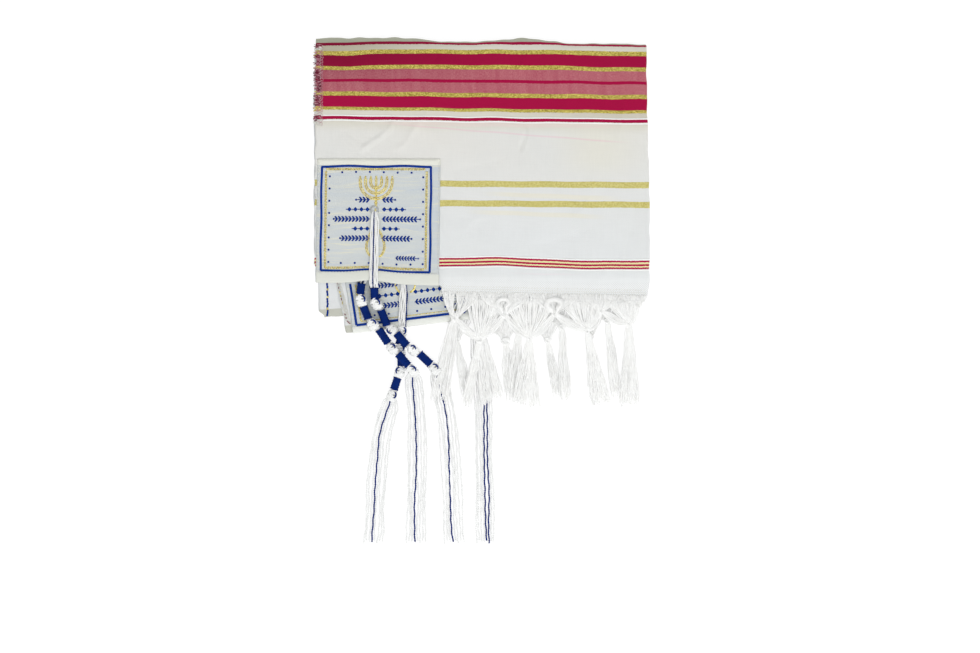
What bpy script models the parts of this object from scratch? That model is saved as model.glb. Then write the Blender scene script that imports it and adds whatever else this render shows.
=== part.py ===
"""A prayer shawl (tallit), folded to a flat pack and lying on a table.

The cloth is folded in half lengthwise (the fold is the right side of the pack), its two fringed ends are brought
together, and the rest is folded away underneath. So four leaves lie on top, each with a corner patch and a tassel
(tzitzit), and the twelve layers below them share one solid.

Axes: +X right, +Y away from the fringe, +Z up, in metres. The origin is the middle of the footprint, on the table.
Sizes are written in millimetres and turned into metres by MM where points are made.
"""

import math
from collections import namedtuple

import bmesh
import bpy
from mathutils import Vector

MM = 0.001

# The cloth
CLOTH_WIDTH = 560.0
LEAF_WIDTH = CLOTH_WIDTH / 2
HALF_LEAF = LEAF_WIDTH / 2
WALL = 1.0
GAP = 0.3
PITCH = WALL + GAP

# Levels of the pack, from the table up; a leaf's level is the middle of its wall
STACK_TOP = 8.2
LEVEL_4 = STACK_TOP + GAP + WALL / 2
LEVEL_3 = LEVEL_4 + PITCH
LEVEL_2 = LEVEL_3 + PITCH
LEVEL_1 = LEVEL_2 + PITCH

# The back of the pack, where the top leaf turns down over the layers below it
BACK_LINE = 204.4
BACK_SKEW = 5.5
BACK_RIPPLE = 0.5
BACK_CENTRE = 6.0
BACK_INSIDE = 6.3

# The front of the pack
STACK_FRONT = 22.0
DROP_START = 20.0
DROP_LENGTH = 30.0
DROP_HEIGHT = 8.0
DROP_TOP = 10.0
DROP_ROWS = 10
PATCH_END = -36.0
PATCH_STEP = 4.0

# The corner patches
PATCH_LEFT = -138.0
PATCH_RIGHT = -35.5
PATCH_TOP = 109.6

# The corner tassels
CORD_HALF_WIDTH = 3.2
CORD_HALF_HEIGHT = 1.2
WINDING_RADIUS = 3.0
KNOT_RADIUS = 3.9
STRAND_RADIUS = 0.85
STRANDS = 8
STRAND_END = -211.0
CLEAR = 0.35

# The knotted fringe
STRIP_DEPTH = 2.0
STRIP_HALF_HEIGHT = 0.55
FRINGE_END = -95.0

Knot = namedtuple("Knot", "x y z")
Route = namedtuple("Route", "x y z half_width half_height")
Bundle = namedtuple("Bundle", "left right knot")
Leg = namedtuple("Leg", "start end")
Tassel = namedtuple("Tassel", "knot end strands")
Station = namedtuple("Station", "x y z kind")


def smooth(t):
    """0 below 0, 1 above 1, and a smooth step between them."""
    t = min(1.0, max(0.0, t))
    return t * t * (3 - 2 * t)


def bump(distance, width):
    return math.exp(-((distance / width) ** 2))


def swell(x, y):
    """The pack is a little thinner towards its sides and ends."""
    return 1 - 0.09 * (x / HALF_LEAF) ** 4 - 0.05 * ((y - 100) / 110) ** 4


def ripple(x, y):
    """Soft waves that stand up in the top leaf, most of them across its striped end."""
    striped = smooth((y - 120) / 40)
    across = 0.45 * (1 + math.sin(x / 17.5 + 0.8)) * (0.35 + 0.65 * striped)
    ridge = 0.8 * bump((x + 0.9 * (y - 150)) + 62, 9) * bump(y - 142, 26)
    crease = 0.7 * bump(x - 33, 5) * bump(y - 130, 16)
    hollow = 0.5 * (1 + math.sin(y / 21.0 + x / 60.0))
    return across + ridge + crease + 0.35 * hollow


def lift(x, y):
    """The tassels of the lower leaves lie under the patched corner and lift its hem."""
    return 2.3 * bump(x + 84, 44) * smooth((30 - y) / 18)


def droop(x, y):
    """Right of the patch the top leaf hangs over the front of the pack."""
    return 3.9 * smooth((x + 45) / 20) * smooth((14 - y) / 18)


def drop(y):
    """The share of the way down to the table that the lower leaves have come at y."""
    return smooth((DROP_START - y) / DROP_LENGTH)


def back_line(x):
    return BACK_LINE - BACK_SKEW * (x + HALF_LEAF) / LEAF_WIDTH + BACK_RIPPLE * math.sin(x / 15)


def hem_1(x):
    """The front edge of the top leaf: drawn up where the tassel leaves the patch, lower beside the patch."""
    patched = 8.1 - 0.025 * (x + 138) + 3.0 * bump(x + 93, 17)
    plain = -1.0 - 0.021 * (x + 35)
    return patched + (plain - patched) * smooth((x - PATCH_END) / PATCH_STEP)


def hem_3(x):
    """The third leaf lies askew, so its hem rises to the right."""
    return -34.6 + 0.123 * (x + 112)


def hem_4(x):
    return -22.9 + 0.07 * (x + 130)


def left_1(y):
    return -HALF_LEAF + 2.5 * smooth((y - 100) / 80)


def left_3(y):
    return -122.3 + 0.236 * (8 - min(y, 60.0)) if y > -30 else -113.3


def left_4(y):
    corner = 7.0 * smooth((-14 - y) / 12) ** 2
    return -137.8 + corner


def fold_1(y):
    return 139.0 - 3.3 * smooth((y - 60) / 140) - 2.6 * smooth((15 - y) / 25)


def fold_3(y):
    return 136.5 - 2.0 * smooth((y - 60) / 140)


def upper_point(x, level, y):
    """A point of the upper pair of leaves where it lies flat; level is its height in an even pack."""
    height = level * swell(x, y) + lift(x, y) - droop(x, y)
    if level > LEVEL_1 - WALL:
        height += ripple(x, y)
    return Vector((x, y, height))


def back_point(x, level, step):
    """A point of the upper pair where it turns down over the back of the pack, at step 1, 2 and so on."""
    start = upper_point(x, level, back_line(x))
    reach = level - BACK_INSIDE
    if step <= 3:
        angle = math.radians(30 * step)
        y = start.y + reach * math.sin(angle)
        z = BACK_CENTRE + (start.z - BACK_CENTRE) * math.cos(angle)
        return Vector((x, y, z))
    if step == 4:
        return Vector((x, start.y + reach, 3.4))
    return Vector((x, start.y + reach - 0.7, 0.9))


def lower_point(x, level, y):
    """A point of the lower pair: on the pack behind, and down on the table in front."""
    share = drop(y)
    height = level * (swell(x, y) * (1 - share) + share) - DROP_HEIGHT * share
    return Vector((x, y, height))


def material(name, colour, roughness=0.85, metallic=0.0):
    made = bpy.data.materials.new(name)
    made.use_nodes = True
    shader = made.node_tree.nodes["Principled BSDF"]
    shader.inputs["Base Color"].default_value = (*colour, 1.0)
    shader.inputs["Roughness"].default_value = roughness
    shader.inputs["Metallic"].default_value = metallic
    return made


def object_from(name, mesh_maker, collection, finish=None):
    """A new object whose mesh is what mesh_maker leaves in an empty bmesh."""
    work = bmesh.new()
    mesh_maker(work)
    bmesh.ops.recalc_face_normals(work, faces=work.faces)
    mesh = bpy.data.meshes.new(name)
    work.to_mesh(mesh)
    work.free()
    made = bpy.data.objects.new(name, mesh)
    collection.objects.link(made)
    if finish:
        mesh.materials.append(finish)
        mesh.shade_smooth()
        mesh.set_sharp_from_angle(angle=math.radians(40))
    return made


def loft(work, rings):
    """Closed rings of points, in millimetres, joined side to side and capped at both ends."""
    rows = [[work.verts.new(point * MM) for point in ring] for ring in rings]
    count = len(rows[0])
    for row, after in zip(rows, rows[1:]):
        for i in range(count):
            j = (i + 1) % count
            work.faces.new((row[i], row[j], after[j], after[i]))
    work.faces.new(rows[0][::-1])
    work.faces.new(rows[-1])


def spread(count):
    return [i / (count - 1) for i in range(count)]


def pair_section(fold, left_over, left_under, columns, under_columns, top_level):
    """The closed outline of two leaves joined at their fold, as (x, level) pairs."""
    half = WALL / 2
    middle = top_level - PITCH / 2
    over = [left_over + a * (fold - left_over) for a in columns]
    under = [left_under + a * (fold - left_under) for a in under_columns]
    arc = [math.radians(angle) for angle in (60, 20, -20, -60)]

    def turned(radius):
        return [(fold + radius * math.cos(a), middle + radius * math.sin(a)) for a in arc]

    outer = PITCH / 2 + half
    inner = PITCH / 2 - half
    bottom_level = top_level - PITCH
    return (
        [(x, top_level + half) for x in over]
        + turned(outer)
        + [(x, bottom_level - half) for x in reversed(under)]
        + [(x, bottom_level + half) for x in under]
        + turned(inner)[::-1]
        + [(x, top_level - half) for x in reversed(over)]
    )


def make_upper_pair(collection, finish):
    """The top leaf, its fold at the right and the leaf under it, turned down together over the back."""
    edge = (PATCH_END + PATCH_STEP / 2 + HALF_LEAF) / LEAF_WIDTH
    columns = sorted(spread(20) + [edge - 0.012, edge + 0.012])
    under_columns = spread(13)
    rows = [0, 0.03, 0.07, 0.12, 0.2, 0.3, 0.4, 0.5, 0.58, 0.65, 0.72, 0.79, 0.86, 0.93, 0.98]
    rings = []
    for t in rows:
        across = back_line(0) * t
        section = pair_section(
            fold_1(across), left_1(across), left_1(across) + 1.5, columns, under_columns, LEVEL_1
        )
        ring = []
        for x, level in section:
            inset = 1.0 * (1 - t) if level < LEVEL_1 - WALL else 0.0
            front = hem_1(x) + inset
            ring.append(upper_point(x, level, front + (back_line(x) - front) * t))
        rings.append(ring)
    section = pair_section(
        fold_1(BACK_LINE), left_1(BACK_LINE), left_1(BACK_LINE) + 1.5, columns, under_columns, LEVEL_1
    )
    for step in range(1, 6):
        rings.append([back_point(x, level, step) for x, level in section])
    return object_from("upper_leaves", lambda work: loft(work, rings), collection, finish)


def make_lower_pair(collection, finish):
    """The third leaf, its fold and the fourth leaf, which come down on the table in front of the pack."""
    columns = spread(12)
    under_columns = spread(9)
    middle = LEVEL_3 - PITCH / 2
    rings = []

    def add_ring(across, y_at):
        section = pair_section(
            fold_3(across), left_3(across), left_4(across), columns, under_columns, LEVEL_3
        )
        rings.append([lower_point(x, level, y_at(x, level)) for x, level in section])

    for t in spread(DROP_ROWS):

        def dropping(x, level, t=t):
            over = smooth((level - middle) / GAP + 0.5)
            front = hem_4(x) + (hem_3(x) - hem_4(x)) * over
            return front + (DROP_TOP - front) * t

        add_ring(-25 + (DROP_TOP + 25) * t, dropping)
    for y in (16, 21, 45, 90, 140, BACK_LINE - 8):
        add_ring(y, lambda x, level, y=y: y)
    return object_from("lower_leaves", lambda work: loft(work, rings), collection, finish)


def sheet(work, columns, rows, under, over):
    """A wall between two surfaces: under and over give its points for a column and a row."""
    rings = []
    for r in rows:
        rings.append([over(c, r) for c in columns] + [under(c, r) for c in reversed(columns)])
    loft(work, rings)


def make_patch_1(collection, finish):
    """The patch on the corner of the top leaf, moved out from its points; its foot is the turned hem."""
    level = LEVEL_1 + PITCH
    columns = [PATCH_LEFT + (PATCH_RIGHT - PATCH_LEFT) * a for a in spread(12)]

    def point(side):
        def at(x, r):
            front = hem_1(min(x, PATCH_END)) - 0.2
            return upper_point(x, level + side * WALL / 2, front + (PATCH_TOP - front) * r)

        return at

    rows = [0, 0.06, 0.12, 0.22, 0.35, 0.5, 0.65, 0.8, 0.92, 1.0]
    return object_from(
        "corner_patch_1", lambda work: sheet(work, columns, rows, point(-1), point(1)), collection, finish
    )


def make_patch_3(collection, finish):
    """The patch on the third leaf, from its hem to where the top leaf covers it."""
    level = LEVEL_3 + PITCH

    def point(side):
        def at(c, r):
            x_foot = -108.8 + 104.0 * c
            y = hem_3(x_foot) + (DROP_TOP - hem_3(x_foot)) * r
            x = x_foot - 0.15 * (y - hem_3(x_foot))
            return lower_point(x, level + side * WALL / 2, y)

        return at

    return object_from(
        "corner_patch_3",
        lambda work: sheet(work, spread(9), spread(DROP_ROWS), point(-1), point(1)),
        collection,
        finish,
    )


def make_stack(collection, finish):
    """The twelve hidden layers in one solid, with a rounded ridge round it for each doubled layer."""
    ridges = 6
    corner = 6.0
    # how far each ridge lies to the right, to the back and out, in millimetres, from the table up
    shifts = [(0.0, 0.0, -0.6), (0.8, -0.6, 0.2), (-0.7, 0.4, 0.4), (0.5, -0.3, -0.2), (-0.4, 0.3, 0.3), (0.2, 0.0, 0.0)]

    def outline(out, shift_x, shift_y):
        left, right = -HALF_LEAF + 3.2 - out + shift_x, HALF_LEAF - 5.6 + out + shift_x
        front = STACK_FRONT - out + shift_y

        def back(x):
            return back_line(x) + 2.6 + min(out, 0.6) + min(shift_y, 0.0)

        points = []
        for x in [left + corner + (right - left - 2 * corner) * a for a in spread(8)]:
            points.append((x, front))
        points += [(right - 0.3 * corner, front + 0.3 * corner)]
        top = back(right)
        for y in [front + corner + (top - front - 2 * corner) * a for a in spread(7)]:
            points.append((right + 0.5 * math.sin(y / 19), y))
        points += [(right - 0.3 * corner, top - 0.3 * corner)]
        for x in [right - corner - (right - left - 2 * corner) * a for a in spread(8)]:
            points.append((x, back(x)))
        top = back(left)
        points += [(left + 0.3 * corner, top - 0.3 * corner)]
        for y in [top - corner - (top - front - 2 * corner) * a for a in spread(7)]:
            points.append((left + 0.7 * math.sin(y / 13), y))
        points += [(left + 0.3 * corner, front + 0.3 * corner)]
        return points

    step = STACK_TOP / ridges
    rings = []
    for k, (shift_x, shift_y, out) in enumerate(shifts):
        rings.append((k * step, out - 1.1, shift_x, shift_y))
        rings.append(((k + 0.3) * step, out, shift_x, shift_y))
        rings.append(((k + 0.7) * step, out, shift_x, shift_y))
    rings.append((STACK_TOP, -1.4, 0.0, 0.0))

    def point(x, y, z):
        return Vector((x, y, z * swell(x, y)))

    loops = [[point(x, y, z) for x, y in outline(out, sx, sy)] for z, out, sx, sy in rings]
    return object_from("folded_layers", lambda work: loft(work, loops), collection, finish)


def tube_rings(route, sides, turn=0.0):
    """Elliptical rings square to a route of Route points."""
    rings = []
    for i, here in enumerate(route):
        before, after = route[max(i - 1, 0)], route[min(i + 1, len(route) - 1)]
        along = Vector((after.x - before.x, after.y - before.y, after.z - before.z)).normalized()
        aside = along.cross(Vector((0, 0, 1)))
        aside = aside.normalized() if aside.length > 1e-6 else Vector((1, 0, 0))
        up = aside.cross(along)
        centre = Vector((here.x, here.y, here.z))
        ring = []
        for k in range(sides):
            angle = 2 * math.pi * k / sides + turn
            ring.append(
                centre + aside * here.half_width * math.cos(angle) + up * here.half_height * math.sin(angle)
            )
        rings.append(ring)
    return rings


def tube(name, route, sides, collection, turn=0.0):
    return object_from(name, lambda work: loft(work, tube_rings(route, sides, turn)), collection)


def fused(name, body, joined, collection, finish):
    """body and the objects in joined as one solid; the operands are removed."""
    operands = bpy.data.collections.new(name + "_operands")
    for piece in joined:
        operands.objects.link(piece)
    modifier = body.modifiers.new("union", "BOOLEAN")
    modifier.operation = "UNION"
    modifier.operand_type = "COLLECTION"
    modifier.collection = operands
    # the exact solver leaves slivers where many strands meet in one knot
    modifier.solver = "MANIFOLD"
    bpy.context.view_layer.update()
    evaluated = body.evaluated_get(bpy.context.evaluated_depsgraph_get())
    mesh = bpy.data.meshes.new_from_object(evaluated)
    mesh.name = name
    mesh.materials.clear()
    mesh.materials.append(finish)
    made = bpy.data.objects.new(name, mesh)
    collection.objects.link(made)
    for piece in [body, *joined]:
        bpy.data.objects.remove(piece)
    bpy.data.collections.remove(operands)
    return made


def between(a, b, share):
    return a + (b - a) * share


def curve_through(points, steps):
    """Points of a smooth curve through Vectors, steps to each stretch."""
    padded = [points[0] * 2 - points[1], *points, points[-1] * 2 - points[-2]]
    found = []
    for i in range(1, len(padded) - 2):
        p0, p1, p2, p3 = padded[i - 1 : i + 3]
        for k in range(steps):
            t = k / steps
            found.append(
                0.5
                * (
                    2 * p1
                    + (p2 - p0) * t
                    + (2 * p0 - 5 * p1 + 4 * p2 - p3) * t * t
                    + (3 * p1 - p0 - 3 * p2 + p3) * t * t * t
                )
            )
    found.append(points[-1].copy())
    return found


def make_fringe(name, hem, locks, bundles, knots, legs, tassels, finish, collection, scratch):
    """A header strip with bundles of locks gathered into knots, legs between knots, and tassels.

    hem gives the cloth's edge at x, and locks is the number of locks in each bundle."""
    left, right = bundles[0].left, bundles[-1].right

    def strip_ring(x):
        edge = hem(x)
        y_back, y_front = edge.y - GAP, edge.y - GAP - STRIP_DEPTH
        low, high = edge.z - STRIP_HALF_HEIGHT, edge.z + STRIP_HALF_HEIGHT
        return [Vector((x, y, z)) for y, z in ((y_back, low), (y_back, high), (y_front, high), (y_front, low))]

    steps = max(6, round((right - left) / 14))
    strip_rings = [strip_ring(left + (right - left) * a) for a in spread(steps)]
    body = object_from(name + "_strip", lambda work: loft(work, strip_rings), scratch)
    joined = []

    def lock(points, half_widths, sides, turn=0.0):
        half_height = 0.55
        route = [Route(p.x, p.y, p.z, w, half_height) for p, w in zip(points, half_widths)]
        joined.append(tube(f"{name}_lock", route, sides, scratch, turn))

    for bundle in bundles:
        knot = knots[bundle.knot]
        target = Vector((knot.x, knot.y, knot.z))
        for k in range(locks):
            share = (k + 0.5) / locks
            x = between(bundle.left + 1.2, bundle.right - 1.2, share)
            edge = hem(x)
            root = Vector((x, edge.y - GAP - STRIP_DEPTH / 2, edge.z))
            bend = root.lerp(target, 0.55)
            bend.x = between(root.x, target.x, 0.42)
            bend.z += 0.2 if root.z > 2 else 0.0
            meet = target + Vector((0.41 * (k - locks / 2), 0.3 * math.sin(1.7 * k), 0.11 * math.cos(2.3 * k)))
            lock([root, bend, meet], [1.5, 1.2, 0.9], 4, math.radians(45))
    for leg in legs:
        start, end = knots[leg.start], knots[leg.end]
        a, b = Vector((start.x, start.y, start.z)), Vector((end.x, end.y, end.z))
        middle = a.lerp(b, 0.5) + Vector((0.0, -1.5, 0.3))
        side = 0.45 if b.x > a.x else -0.45
        a.x += side
        b.x -= side
        lock([a, middle, b], [1.3, 1.6, 1.2], 4, math.radians(45))
    for tassel in tassels:
        knot = knots[tassel.knot]
        start = Vector((knot.x, knot.y, knot.z))
        end = Vector(tassel.end)
        along = (end - start).normalized()
        aside = Vector((-along.y, along.x, 0)).normalized()
        for k in range(tassel.strands):
            offset = k - (tassel.strands - 1) / 2
            shoulder = start + along * 9 + aside * offset * 1.9
            middle = start.lerp(end, 0.5) + aside * offset * 2.5 + Vector((1.2 * math.sin(k * 2.1), 0, 0))
            foot = end + aside * offset * 2.7 + Vector((0, 2.5 * math.sin(k * 1.7), 0))
            root = start + aside * offset * 0.33 + Vector((0, 0, 0.13 * math.sin(1.9 * k)))
            lock([root, shoulder, middle, foot], [0.8, 0.75, 0.8, 0.6], 3, math.radians(90))
    for knot in knots:
        size = Route(knot.x, knot.y, knot.z, 0, 0)
        shape = ((-2.6, 0.9), (-1.3, 2.3), (1.3, 2.3), (2.6, 0.9))
        route = [Route(size.x + 0.2 * dy, size.y + dy, size.z, w, min(w, 1.0)) for dy, w in shape]
        joined.append(tube(f"{name}_knot", route, 6, scratch))
    return fused(name, body, joined, collection, finish)


def make_tassel(name, route, strand_routes, finish, collection, scratch):
    """A corner tassel: its knotted and wound part, with the free strands fused into the last knot."""
    body = tube(name + "_body", route, 8, scratch, math.radians(22.5))
    joined = []
    for points in strand_routes:
        strand = [Route(p.x, p.y, p.z, STRAND_RADIUS, STRAND_RADIUS) for p in points]
        joined.append(tube(name + "_strand", strand, 3, scratch, math.radians(90)))
    return fused(name, body, joined, collection, finish)


def tassel_route(lead, stations):
    """The route of a corner tassel: lead is its flat bundle, then a knot and a winding by turns.

    A station's kind is knot, or the start or end of a winding. None reaches the table."""
    route = list(lead)
    for place in stations:
        radius = KNOT_RADIUS if place.kind == "knot" else WINDING_RADIUS
        route.append(Route(place.x, place.y, place.z, radius, min(radius, place.z - CLEAR)))
    return route


def strand_fan(start, heading, end_x, spread_at_end, sway, level):
    """The free strands of a corner tassel, from its last knot to their even ends."""
    fan = []
    for k in range(STRANDS):
        offset = k - (STRANDS - 1) / 2
        aside = Vector((-heading[1], heading[0], 0))
        root = Vector(start) + aside * offset * 0.37 + Vector((0, 0, 0.17 * math.sin(1.3 * k)))
        near = Vector(start) + Vector((heading[0] * 9, heading[1] * 9, 0)) + aside * offset * 1.95
        near.z = level
        length = STRAND_END - near.y
        foot = Vector((end_x + offset * spread_at_end, STRAND_END + 1.5 * abs(math.sin(k * 1.9)), level))
        third = Vector((between(near.x, foot.x, 0.38) + sway, near.y + 0.33 * length, level))
        two_thirds = Vector((between(near.x, foot.x, 0.75) + sway * 0.4, near.y + 0.68 * length, level))
        fan.append([root, *curve_through([near, third, two_thirds, foot], 2)])
    return fan


def make_tassels(collection, scratch, finish):
    """The four corner tassels, each from where it leaves its corner to the ends of its strands."""
    over = LEVEL_1 + PITCH + WALL / 2 + GAP + CORD_HALF_HEIGHT
    eyelet_x, eyelet_y = -90.0, 62.6
    lead = []
    for y in (eyelet_y, 58.0, 48.0, 38.0, 26.0, 18.0, 13.0, 9.2):
        x = eyelet_x - 0.9 * smooth((eyelet_y - y) / 60)
        z = upper_point(x, over + 0.1, y).z
        lead.append(Route(x, y, z, CORD_HALF_WIDTH, CORD_HALF_HEIGHT))
    lead[0] = lead[0]._replace(half_width=2.0, half_height=0.8)
    lead.append(Route(-90.9, 6.4, lead[-1].z - 1.4, 3.4, 1.3))
    first = [
        Station(-90.7, 3.2, 12.2, "start"),
        Station(-90.2, -6.0, 9.3, "end"),
        Station(-89.2, -10.0, 9.0, "knot"),
        Station(-85.2, -15.6, 7.8, "start"),
        Station(-80.2, -28.4, 7.2, "end"),
        Station(-76.2, -32.1, 8.4, "knot"),
        Station(-72.1, -35.2, 10.6, "start"),
        Station(-63.4, -45.0, 10.6, "end"),
        Station(-58.6, -48.8, 8.8, "knot"),
        Station(-53.2, -51.9, 5.4, "start"),
        Station(-44.0, -60.6, 3.6, "end"),
        Station(-40.4, -64.6, 3.9, "knot"),
    ]
    strands = strand_fan((-40.4, -64.6, 2.6), (0.35, -0.94), -24.0, 2.3, 3.0, 1.2)
    make_tassel("tzitzit_1", tassel_route(lead, first), strands, finish, collection, scratch)

    on_patch_3 = LEVEL_3 + PITCH + WALL / 2 + GAP
    lead = [
        Route(-97.5, 12.0, lower_point(-97.5, on_patch_3, 12.0).z + 1.2, 2.4, 0.9),
        Route(-99.8, 8.0, lower_point(-99.8, on_patch_3, 8.0).z + 1.2, 2.6, 0.9),
    ]
    second = [
        Station(-101.6, 3.4, 10.8, "start"),
        Station(-102.5, -2.0, 9.6, "end"),
        Station(-101.7, -7.2, 9.0, "knot"),
        Station(-99.8, -12.6, 8.0, "start"),
        Station(-95.8, -22.8, 7.6, "end"),
        Station(-92.1, -27.4, 8.5, "knot"),
        Station(-86.9, -31.6, 7.8, "start"),
        Station(-79.4, -43.0, 7.0, "end"),
        Station(-76.0, -47.6, 8.4, "knot"),
        Station(-70.8, -52.0, 10.2, "start"),
        Station(-62.4, -61.8, 10.1, "end"),
        Station(-59.0, -66.0, 9.6, "knot"),
    ]
    strands = strand_fan((-59.0, -66.0, 7.0), (0.1, -0.99), -56.0, 2.3, 2.0, 1.2)
    make_tassel("tzitzit_2", tassel_route(lead, second), strands, finish, collection, scratch)

    lead = []
    for y in (8.0, 3.0, -3.0, -9.0, -14.5, -20.0, -25.0, -29.8):
        x = -66.4 + 0.04 * y
        z = lower_point(x, on_patch_3 + CORD_HALF_HEIGHT, y).z
        lead.append(Route(x, y, z, CORD_HALF_WIDTH, CORD_HALF_HEIGHT - 0.1))
    third = [
        Station(-68.0, -33.6, 4.4, "knot"),
        Station(-68.3, -37.6, 3.4, "start"),
        Station(-70.2, -44.2, 3.4, "end"),
        Station(-69.4, -48.2, 3.9, "knot"),
        Station(-68.6, -52.6, 3.4, "start"),
        Station(-68.2, -62.4, 3.4, "end"),
        Station(-69.6, -67.2, 3.9, "knot"),
        Station(-71.4, -72.2, 3.4, "start"),
        Station(-74.6, -82.0, 3.4, "end"),
        Station(-76.2, -86.8, 3.9, "knot"),
    ]
    strands = strand_fan((-76.2, -86.8, 2.6), (-0.2, -0.98), -92.0, 2.3, -3.0, 1.2)
    make_tassel("tzitzit_3", tassel_route(lead, third), strands, finish, collection, scratch)

    lead = [
        Route(-6.4, -20.6, 1.1, 1.8, 0.5),
        Route(-6.0, -26.0, 1.2, 2.4, 0.8),
        Route(-4.8, -34.0, 1.2, 2.4, 0.8),
    ]
    strands = strand_fan((-4.8, -33.0, 1.2), (0.15, -0.99), 2.0, 2.0, 1.0, 1.2)
    make_tassel("tzitzit_4", lead, strands, finish, collection, scratch)


def make_eyelet(collection, finish):
    """The worked eyelet in the top patch: a ring of stitches round the hole."""
    x, y = -90.0, 67.6
    z = upper_point(x, LEVEL_1 + PITCH + WALL / 2 + GAP, y).z + 0.75
    bpy.ops.mesh.primitive_torus_add(
        major_radius=2.7 * MM,
        minor_radius=0.7 * MM,
        major_segments=14,
        minor_segments=6,
        location=(x * MM, y * MM, z * MM),
    )
    ring = bpy.context.object
    ring.name = "eyelet_1"
    ring.data.materials.append(finish)
    for other in list(ring.users_collection):
        other.objects.unlink(ring)
    collection.objects.link(ring)
    return ring


def hem_point_1(x):
    edge = hem_1(x)
    return upper_point(x, LEVEL_1, edge) - Vector((0, 0, ripple(x, edge)))


def hem_point_3(x):
    return lower_point(x, LEVEL_3, hem_3(x)) + Vector((0, 0, 0.5))


def hem_point_4(x):
    return lower_point(x, LEVEL_4, hem_4(x))


def make_fringes(collection, scratch, finish):
    """The fringe of the top leaf, and of the two lower leaves that come out below it."""
    top = 5.3
    knots = [
        Knot(-23.8, -22.0, 6.9),
        Knot(17.9, -19.0, 7.2),
        Knot(59.6, -18.5, 7.2),
        Knot(98.8, -16.0, 7.2),
        Knot(129.0, -11.0, 7.4),
        Knot(-3.0, -40.0, 5.9),
        Knot(38.8, -38.8, 5.9),
        Knot(87.0, -33.0, 6.1),
        Knot(122.0, -26.5, 6.3),
    ]
    bundles = [
        Bundle(-32.0, -3.2, 0),
        Bundle(-3.2, 38.8, 1),
        Bundle(38.8, 79.2, 2),
        Bundle(79.2, 114.5, 3),
        Bundle(114.5, 135.5, 4),
    ]
    legs = [Leg(0, 5), Leg(1, 5), Leg(1, 6), Leg(2, 6), Leg(2, 7), Leg(3, 7), Leg(3, 8), Leg(4, 8)]
    tassels = [
        Tassel(0, (-31.0, FRINGE_END + 3, top), 6),
        Tassel(5, (-9.0, FRINGE_END, top), 7),
        Tassel(6, (41.0, FRINGE_END + 2, top), 7),
        Tassel(7, (98.0, FRINGE_END + 1, top), 7),
        Tassel(8, (120.0, FRINGE_END, top), 6),
    ]
    make_fringe("fringe_1", hem_point_1, 4, bundles, knots, legs, tassels, finish, collection, scratch)

    level = 3.35
    knots = [
        Knot(0.0, -36.5, level),
        Knot(30.0, -33.5, level),
        Knot(66.0, -30.0, level),
        Knot(104.0, -24.5, level + 0.1),
    ]
    bundles = [
        Bundle(-4.0, 15.0, 0),
        Bundle(15.0, 48.0, 1),
        Bundle(48.0, 85.0, 2),
        Bundle(85.0, 128.0, 3),
    ]
    tassels = [
        Tassel(0, (12.0, FRINGE_END + 6, level), 6),
        Tassel(1, (26.0, FRINGE_END + 4, level), 5),
        Tassel(2, (72.0, FRINGE_END + 5, level), 7),
        Tassel(3, (110.0, FRINGE_END + 7, level), 6),
    ]
    make_fringe("fringe_3", hem_point_3, 3, bundles, knots, [], tassels, finish, collection, scratch)

    level = 1.4
    knots = [
        Knot(-22.0, -40.0, level),
        Knot(19.0, -42.0, level),
        Knot(54.0, -41.0, level),
        Knot(90.0, -38.0, level),
    ]
    bundles = [
        Bundle(-32.0, -6.0, 0),
        Bundle(-6.0, 34.0, 1),
        Bundle(34.0, 70.0, 2),
        Bundle(70.0, 106.0, 3),
    ]
    tassels = [
        Tassel(0, (-19.0, FRINGE_END + 9, level), 4),
        Tassel(1, (24.0, FRINGE_END + 10, level), 5),
        Tassel(2, (56.0, FRINGE_END + 8, level), 5),
        Tassel(3, (88.0, FRINGE_END + 11, level), 5),
    ]
    make_fringe("fringe_4", hem_point_4, 2, bundles, knots, [], tassels, finish, collection, scratch)


def clear_scene():
    for old in list(bpy.data.objects):
        bpy.data.objects.remove(old)


def main():
    clear_scene()
    parts = bpy.data.collections.new("folded_prayer_shawl")
    scratch = bpy.data.collections.new("operands")
    for made in (parts, scratch):
        bpy.context.scene.collection.children.link(made)

    cloth = material("white_cloth", (0.80, 0.80, 0.77), 0.9)
    patch = material("patch_satin", (0.66, 0.69, 0.70), 0.6)
    cord = material("tassel_cord", (0.82, 0.82, 0.80), 0.8)
    fringe = material("fringe_yarn", (0.82, 0.82, 0.80), 0.85)
    thread = material("eyelet_thread", (0.45, 0.46, 0.44), 0.6)

    make_stack(parts, cloth)
    make_lower_pair(parts, cloth)
    make_upper_pair(parts, cloth)
    make_patch_1(parts, patch)
    make_patch_3(parts, patch)
    make_eyelet(parts, thread)
    make_tassels(parts, scratch, cord)
    make_fringes(parts, scratch, fringe)
    bpy.data.collections.remove(scratch)


main()
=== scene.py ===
"""Looks of a prayer shawl, folded to a flat pack and lying on a table.

Sizes and places are in millimetres and are turned into metres where meshes are made. The surfaces follow the
same functions of x and y as the solids: +X right, +Y away from the fringe, +Z up from the table.
"""

import math
import random
from collections import namedtuple

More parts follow.
